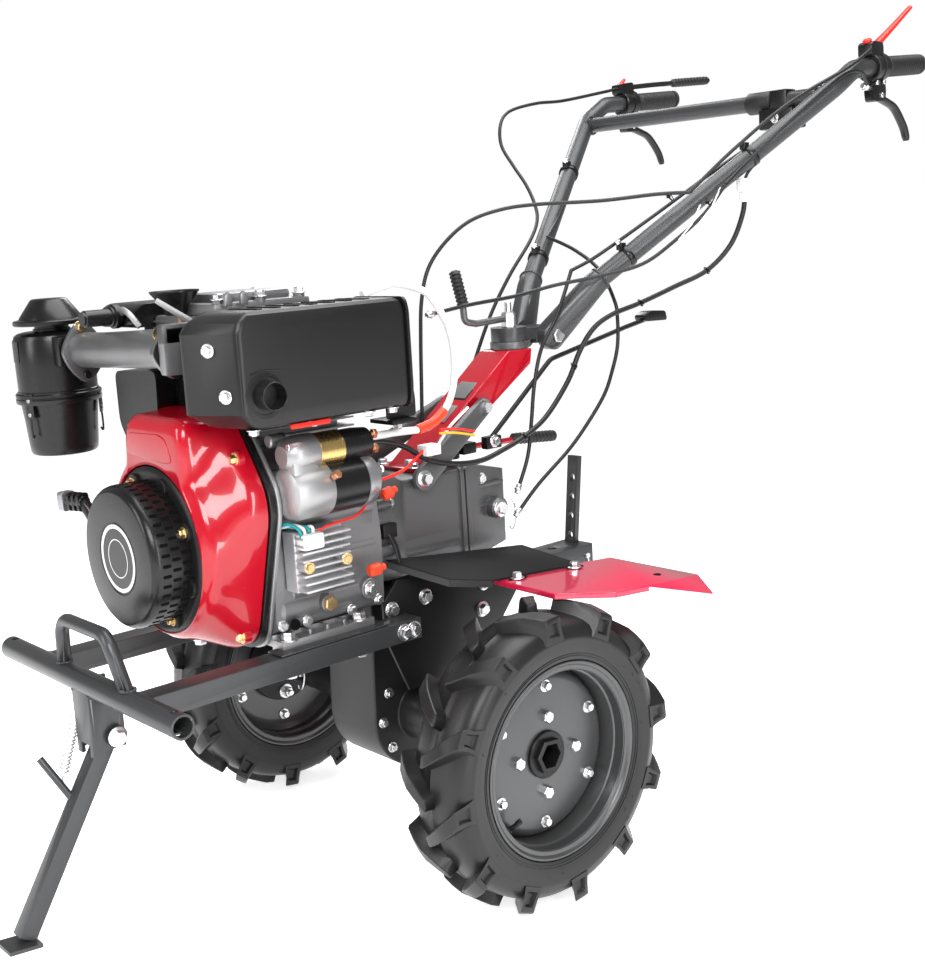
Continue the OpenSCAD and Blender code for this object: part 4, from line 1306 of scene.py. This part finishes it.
def ribbed_grip(p, a, b, low, high, ribs, kind="grip"):
    """Grip with round ribs between two points."""
    axis = b - a
    route, radii = [], []
    steps = ribs * 8
    for i in range(steps + 1):
        t = i / steps
        route.append(a + axis * t)
        wave = low + (high - low) * (0.5 - 0.5 * cos(t * ribs * tau))
        end = min(1.0, 0.55 + 8 * min(t, 1 - t))
        radii.append(wave * end)
    p.sweep(route, radii, kind, 24)


def hitch():
    """Hitch bar, holder and depth bar."""
    dress("depth_bar", "frame", bevel=1)
    dress("hitch_holder", "frame", bevel=1.5)
    p = Piece("hitch_pin", WORLD)
    x, y = -395, -8
    p.rod((x, -46, 420), (x, 34, 420), 5, "zinc", 20)
    p.rod((x, -46, 420), (x, -52, 420), 8, "zinc", 24)
    loop = [(x, 28, 420), (x + 6, 29, 404), (x + 2, 31, 384), (x - 6, 31, 392), (x - 4, 30, 414)]
    p.sweep(spline(loop), 1.3, "zinc", 8)
    p.rod((x - 14, y, 400), (x - 30, y, 400), 7, "zinc", 20)
    p.sweep([(x - 29, y - 22, 400), (x - 29, y + 22, 400)], 3.5, "zinc", 14)
    p.done("chassis")


def fenders():
    """Black plate and red wing on each side with their lips and bolts."""
    for s, side in ((1, "left"), (-1, "right")):
        dress(side + "_fender", "plate", bevel=0.5, segments=1)
        dress(side + "_fender_wing", "wing", bevel=0.5, segments=1)
        p = Piece(side + "_fender_fittings")
        # turned-down edges, slots and bolts on the wing and the sloping plate
        edge = [(-42, s * 198, 221), (-38, s * 326, 221), (-107, s * 377, 216), (-177, s * 377, 210)]
        for a, b in zip(edge, edge[1:]):
            lip(p, a, b, 6, "wing")
        edge = [(80, s * 100, 260.5), (33, s * 186, 235.5), (-24, s * 214, 226.5)]
        for a, b in zip(edge, edge[1:]):
            lip(p, a, b, 10, "black")
        for x, y, z in ((-66, 222, 221.8), (-186, 222, 212.4)):
            p.box((x - 16, s * y - 4, z - 1), (x + 16, s * y + 4, z + 0.9), "void", 0.3)
            p.bolt((x, s * y, z + 0.6), Z, 13, height=7)
            p.bolt((x, s * y, z - 5), (0, 0, -1), 13, height=8)
        p.disc((-244, s * 336, 206.4), Z, 6, 1.2, "void", 24)
        # stay from the mount plate up to the fender
        stay = rounded([(-96, s * 112, 190), (-104, s * 140, 196), (-112, s * 196, 210)], 8)
        p.sweep(stay, 9, "black", 10, 0.3)
        p.bolt((-96, s * 114, 190), (0, s, 0), 13, height=7)
        p.done("chassis")


def lip(p, a, b, drop, kind):
    """Turned-down rim along a plate's edge."""
    a, b = np.array(a, float), np.array(b, float)
    n = unit(np.cross(b - a, (0, 0, 1.0))) * 1.1
    low = vec(0, 0, -drop)
    ring = lambda q: [q - n, q + n, q + n + low, q - n + low]
    p.loft([ring(a), ring(b)], kind)


# ---- handlebar ----

SOCKET = vec(-420.0, 82, 634)
GRIP_DIR = unit(vec(-124.0, -2, 9))
GRIP_START = vec(-942.0, HANDLE_HALF, 963)


def flip(q, s):
    """A left-hand point moved to the side s."""
    q = np.array(q, float)
    return q * vec(1, s, 1)


def handlebar():
    """Fork, handle tubes, crossbar and grips."""
    dress("handlebar_fork", "frame", "handlebar", bevel=1.6)
    dress("left_handle", "frame", "handlebar", bevel=0)
    dress("right_handle", "frame", "handlebar", bevel=0)
    dress("handle_crossbar", "frame", "handlebar", bevel=0)
    p = Piece("handlebar_fittings")
    p.bolt((-346, 44, 547), Y, 22, height=11)
    p.bolt((-346, -44, 547), (0, -1, 0), 22, height=11)
    way = unit(vec(-798.0, HANDLE_HALF, 926) - SOCKET)
    for s in (1, -1):
        w = flip(way, s)
        base = flip(SOCKET, s)
        p.weld([base + 19 * (cos(a) * basis(w)[1] + sin(a) * basis(w)[2])
                for a in np.linspace(0, 6.28, 15)], 1.8)
        for d in (60, 330):
            tube_clamp(p, base + w * d, w)
    for s in (1, -1):
        ring = [(-785 + 17 * cos(a), s * 262, 914 + 17 * sin(a)) for a in np.linspace(0, 6.28, 15)]
        p.weld(ring, 1.8)
    # crossbar: foam sleeve, black switch bracket, bolt
    p.lathe((-785, 119, 914), Y, [(0, 14), (1, 17.5), (3, 19), (50, 19), (52, 17.5), (53, 14)], "grip", 36)
    p.box((-806, 152, 866), (-764, 222, 901), "plastic", 4)
    p.box((-800, 170, 896), (-770, 206, 932), "plastic", 4)
    p.bolt((-764, 186, 884), X, 10, height=6)
    p.done("handlebar")
    g = Piece("hand_grips_rubber")
    for s in (1, -1):
        a = flip(GRIP_START + 0.5 * GRIP_DIR, s)
        b = flip(GRIP_START + 123.6 * GRIP_DIR, s)
        d = unit(b - a)
        g.rod(a, a + d * 5, 18, "grip", 32, 2)
        ribbed_grip(g, a + d * 4, b - d * 3, 16.6, 17.9, 16)
        g.rod(b - d * 6, b, 17.6, "grip", 32, 3)
    g.done("handlebar", ("hand_grips",), angle=40)
    controls(1)
    controls(-1)


def tube_clamp(p, at, way):
    """Band round a handle tube with its screw."""
    w, _, v = basis(way)
    p.lathe(at - w * 5, way, [(0, 16), (0, 18), (0.8, 18.6), (9.2, 18.6), (10, 18), (10, 16)], "plastic", 32)
    p.box(at + v * 20 - 6, at + v * 20 + 6, "plastic", 1.5)
    p.bolt(at + v * 26, v, 8, "zinc", False, 5)


def controls(s):
    """Clamp, brake lever and hand lever at the end of one handle."""
    name = "left" if s > 0 else "right"
    y = HANDLE_HALF
    p = Piece(name + "_controls_levers")
    d = flip(GRIP_DIR, s)
    at = flip(GRIP_START, s)
    # split clamp with two screws
    clamp = [(0, 16.3), (0, 22.5), (1.5, 24), (14, 24), (15, 22), (22, 22), (23, 24), (36.5, 24),
             (38, 22.5), (38, 16.3), (0, 16.3)]
    p.lathe(at - 44 * d, d, clamp, "plastic", 40)
    for k in (8, 30):
        q = at - (44 - k) * d + vec(0, 0, -22.0)
        p.box(q + (-5, -11, -9), q + (5, 11, 2), "plastic", 1.5)
        p.rod(q + (0, 11 * s, -4), q + (0, 14.5 * s, -4), 4.4, "zinc", 6)
    # bracket of the brake lever and its pivot
    bracket = [(-938, 905), (-904, 903), (-900, 922), (-906, 950), (-932, 950), (-940, 925)]
    profile = soft_outline(bracket, 6, 5)
    p.prism(profile, (0, s * y - 10, 0), X, Z, -20, "plastic", 2)
    p.rod((-925, s * y - 13, 914), (-925, s * y + 13, 914), 4.5, "zinc", 20)
    blade(p, [(-925, s * y, 912), (-955, s * y, 904), (-982, s * y, 893), (-1010, s * y, 864),
              (-1020, s * y, 845), (-1022, s * y, 838)], (8.5, 8.5, 8.2, 8, 7.4, 5.5), "plastic")
    # cable adjuster at the front of the bracket
    p.rod((-904, s * y, 926), (-880, s * y, 930), 5, "zinc", 20)
    p.rod((-892, s * y, 928), (-886, s * y, 929), 7.5, "zinc", 6)
    if s > 0:
        p.prism(soft_outline([(-926, 977), (-889, 977), (-888, 1000), (-900, 1004), (-924, 1002)], 6, 5),
                (0, y - 14, 0), X, Z, -28, "plastic", 2)
        p.rod((-896, y, 1001), (-894, y, 1008), 8, "red_plastic", 28, 2)
        lever = [(-905, y, 990), (-950, y, 1016), (-1000, y, 1047), (-1033, y, 1068)]
        blade(p, lever, (9, 7, 5.6, 5), "red_plastic")
    else:
        p.prism(soft_outline([(-926, 977), (-889, 977), (-888, 998), (-924, 1002)], 6, 5),
                (0, s * y - 14, 0), X, Z, -28, "plastic", 2)
        arm = rounded([(-915, s * y, 992), (-1000, s * y, 1000), (-1185, s * y, 1014)], 30, 6)
        p.sweep(arm, 5, "black", 14)
        ribbed_grip(p, vec(-1060.0, s * y, 1004.6), vec(-1184.0, s * y, 1013.8), 7.5, 9, 12)
        blade(p, [(-890, s * y, 988), (-902, s * y, 1000), (-912, s * y, 1008)], (5, 5.5, 4), "red_plastic")
    p.done("handlebar", (name + "_controls",), angle=38)


def blade(p, route, widths, kind):
    """Moulded lever, wider than it is thick."""
    smooth = spline(route, 6)
    w = np.interp(np.linspace(0, 1, len(smooth)), np.linspace(0, 1, len(widths)), widths)
    p.sweep(smooth, w, kind, 18, 0.75)


# ---- cables ----

ROUTES = {
    "throttle": [(-590, 212, 775), (-555, 195, 730), (-510, 170, 690), (-455, 145, 655), (-390, 108, 640),
                 (-325, 70, 630), (-255, 50, 618), (-155, 50, 612), (-60, 60, 604)],
    "left_clutch": [(-530, 185, 765), (-485, 150, 765), (-420, 90, 760), (-330, 30, 760), (-280, 0, 755),
                    (-230, -20, 740), (-185, -30, 710), (-150, -36, 670), (-135, -40, 620),
                    (-130, -42, 560), (-125, -42, 480), (-120, -42, 400)],
    "right_clutch": [(-860, -285, 984), (-720, -275, 962), (-640, -270, 955), (-570, -270, 940),
                     (-535, -260, 915), (-520, -245, 875), (-520, -215, 835), (-515, -180, 800),
                     (-505, -150, 765), (-470, -110, 735), (-420, -80, 700), (-360, -72, 645),
                     (-310, -72, 580), (-265, -72, 500), (-225, -70, 420), (-180, -62, 368)],
    "brake": [(-475, -90, 705), (-470, -20, 680), (-465, 40, 645), (-455, 80, 595), (-452, 88, 565),
              (-445, 92, 520), (-425, 96, 480), (-400, 100, 445), (-360, 100, 405), (-310, 100, 365),
              (-240, 98, 320), (-190, 92, 275)],
    "speed": [(-385, 50, 650), (-355, 60, 612), (-325, 68, 575), (-285, 72, 530), (-262, 76, 475),
              (-248, 80, 420), (-232, 84, 365), (-200, 88, 310)],
}
HARNESS = [(-645, 205, 778), (-648, 206, 760), (-650, 200, 725), (-635, 185, 675), (-595, 165, 635),
           (-540, 140, 612), (-475, 120, 590), (-420, 105, 575), (-385, 95, 555), (-355, 90, 520),
           (-325, 90, 475), (-270, 92, 425), (-220, 92, 400), (-170, 92, 385), (-125, 92, 376),
           (-70, 96, 380),
           (-10, 104, 396), (40, 112, 424), (90, 124, 440), (138, 140, 446)]
BATTERY_LEAD = [(76, 84, 645), (30, 82, 655), (5, 82, 655), (-40, 85, 640), (-62, 90, 610), (-75, 95, 575),
                (-75, 100, 530), (-62, 105, 490), (-35, 112, 462), (0, 118, 447), (60, 128, 450),
                (138, 156, 456)]


def ferrule(p, a, b, kind="zinc"):
    """Metal end piece of a cable between two points."""
    a, b = np.array(a, float), np.array(b, float)
    d = unit(b - a)
    p.rod(a, a + d * 16, 4.6, kind, 18)
    p.rod(a + d * 5, a + d * 9, 6.4, kind, 6)


def cables():
    """Control cables and the wiring, both baked into the world frame."""
    bend = ("handlebar", "chassis", Vector((-0.47, 0.0, 0.95)), Vector((-0.22, 0.0, 0.74)))
    p = Piece("control_cables_sheaths")
    for route in ROUTES.values():
        p.sweep(spline(route, 7), 3.1, "cable", 12)
        ferrule(p, route[-1], route[-2])
    # the cables' upper lengths along the handles, up to the levers
    left = [(-590, 212, 775), (-640, 222, 812), (-700, 262, 872), (-790, 300, 940), (-850, 300, 950),
            (-884, 292, 932)]
    left2 = [(-530, 185, 765), (-600, 222, 830), (-690, 268, 900), (-800, 306, 954), (-870, 304, 985),
             (-892, 292, 990)]
    right = [(-475, -90, 705), (-560, -140, 745), (-660, -200, 812), (-760, -258, 886), (-850, -272, 930),
             (-884, -284, 930)]
    right2 = [(-385, 50, 650), (-430, 70, 672), (-520, 118, 732), (-640, 176, 812), (-740, 214, 866),
              (-786, 190, 880)]
    right3 = [(-860, -285, 984), (-880, -285, 988), (-892, -285, 990)]
    for route in (left, left2, right, right2, right3):
        p.sweep(spline(route, 7), 3.1, "cable", 12)
    for q in ((-563, 199, 747), (-505, 165, 760)):
        zip_tie(p, q, (-0.7, 0.4, 0.55), 8)
    # long cut ends of the ties standing out from the left handle
    for a, b in (((-585, 205, 770), (-520, 212, 716)), ((-548, 192, 744), (-486, 196, 690))):
        p.sweep([a, tuple((np.array(a) + np.array(b)) / 2 + (0, 4, -3)), b], 1.6, "white", 8, 0.5)
    p.done(None, ("control_cables",), blend=bend, angle=50)
    h = Piece("wiring_harness_loom")
    h.sweep(spline(HARNESS, 6), 4.2, "cable", 12)
    lead = spline(BATTERY_LEAD, 6)
    h.sweep(lead, [5.4 + 0.15 * sin(i * 1.3) for i in range(len(lead))], "white", 14)
    # red boots at the lead's ends, connector blocks on pigtails
    a, b = vec(-62.0, 105, 490), vec(0.0, 118, 447)
    h.sweep(spline([(-40, 110, 465), (-12, 116, 452), (22, 122, 447)]), 7.5, "orange", 16)
    h.box((-24, 96, 404), (4, 118, 420), "white", 2)
    h.sweep(spline([(4, 108, 412), (50, 118, 392), (120, 136, 386), (160, 150, 378)]), 2.4, "red_plastic", 10)
    h.sweep(spline([(-24, 106, 412), (-60, 100, 440), (-100, 96, 462)]), 2.4, "white", 10)
    for k, kind in enumerate(("yellow", "red_plastic")):
        wire = [(-20, 122, 436 + 5 * k), (-60, 110, 430 + 6 * k), (-110, 96, 418 + 6 * k)]
        h.sweep(spline(wire), 2, kind, 8)
    h.box((-660, 198, 762), (-636, 214, 784), "white", 2.5)
    h.box((-655, 200, 745), (-641, 212, 764), "white", 2)
    pigtail = [(-648, 206, 780), (-660, 212, 800), (-700, 236, 842), (-760, 220, 870)]
    h.sweep(spline(pigtail), 2.6, "cable", 10)
    for q in ((-595, 165, 635), (-475, 120, 590), (-340, 90, 498), (-220, 92, 400)):
        zip_tie(h, q, (0.8, -0.3, -0.5), 6)
    h.done(None, ("wiring_harness",), angle=50,
           blend=("handlebar", "chassis", Vector((-0.52, 0.0, 0.90)), Vector((-0.24, 0.0, 0.66))))


def zip_tie(p, at, way, r):
    """Thin band round a bundle with its locking head and a cut end."""
    _, u, v = basis(way)
    at = np.array(at, float)
    ring = [at + r * (cos(a) * u + sin(a) * v) for a in np.linspace(0, 6.2, 16)]
    p.sweep(ring, 1.5, "plastic", 8, 0.5)
    p.box(at + u * r - 2.5, at + u * r + 2.5, "plastic", 0.6)
    p.sweep([at + u * r, at + u * (r + 9) + v * 2], 1.2, "plastic", 8, 0.5)


def brace_engine_mounts():
    """Bolts, washers and the clip that hold the bell housing and rails together."""
    p = Piece("chassis_fasteners")
    for s in (-1, 1):
        for x in (74, 92):
            p.bolt((x, s * 148, 165), (0, s, 0), 15, height=8)
        for x in (150, 270):
            p.disc((x, s * 120, 148.5), (0, 0, -1), 13, 1.5, "zinc", 28)
        p.box((116, s * 130 - 17, 181), (300, s * 130 + 17, 183.6), "frame", 1)
    p.done("chassis")


look()
studio()
wheels()
front_frame()
engine_core()
cowling()
recoil()
head()
muffler()
air_cleaner()
intake()
starter()
transmission()
column()
hitch()
fenders()
handlebar()
cables()
brace_engine_mounts()
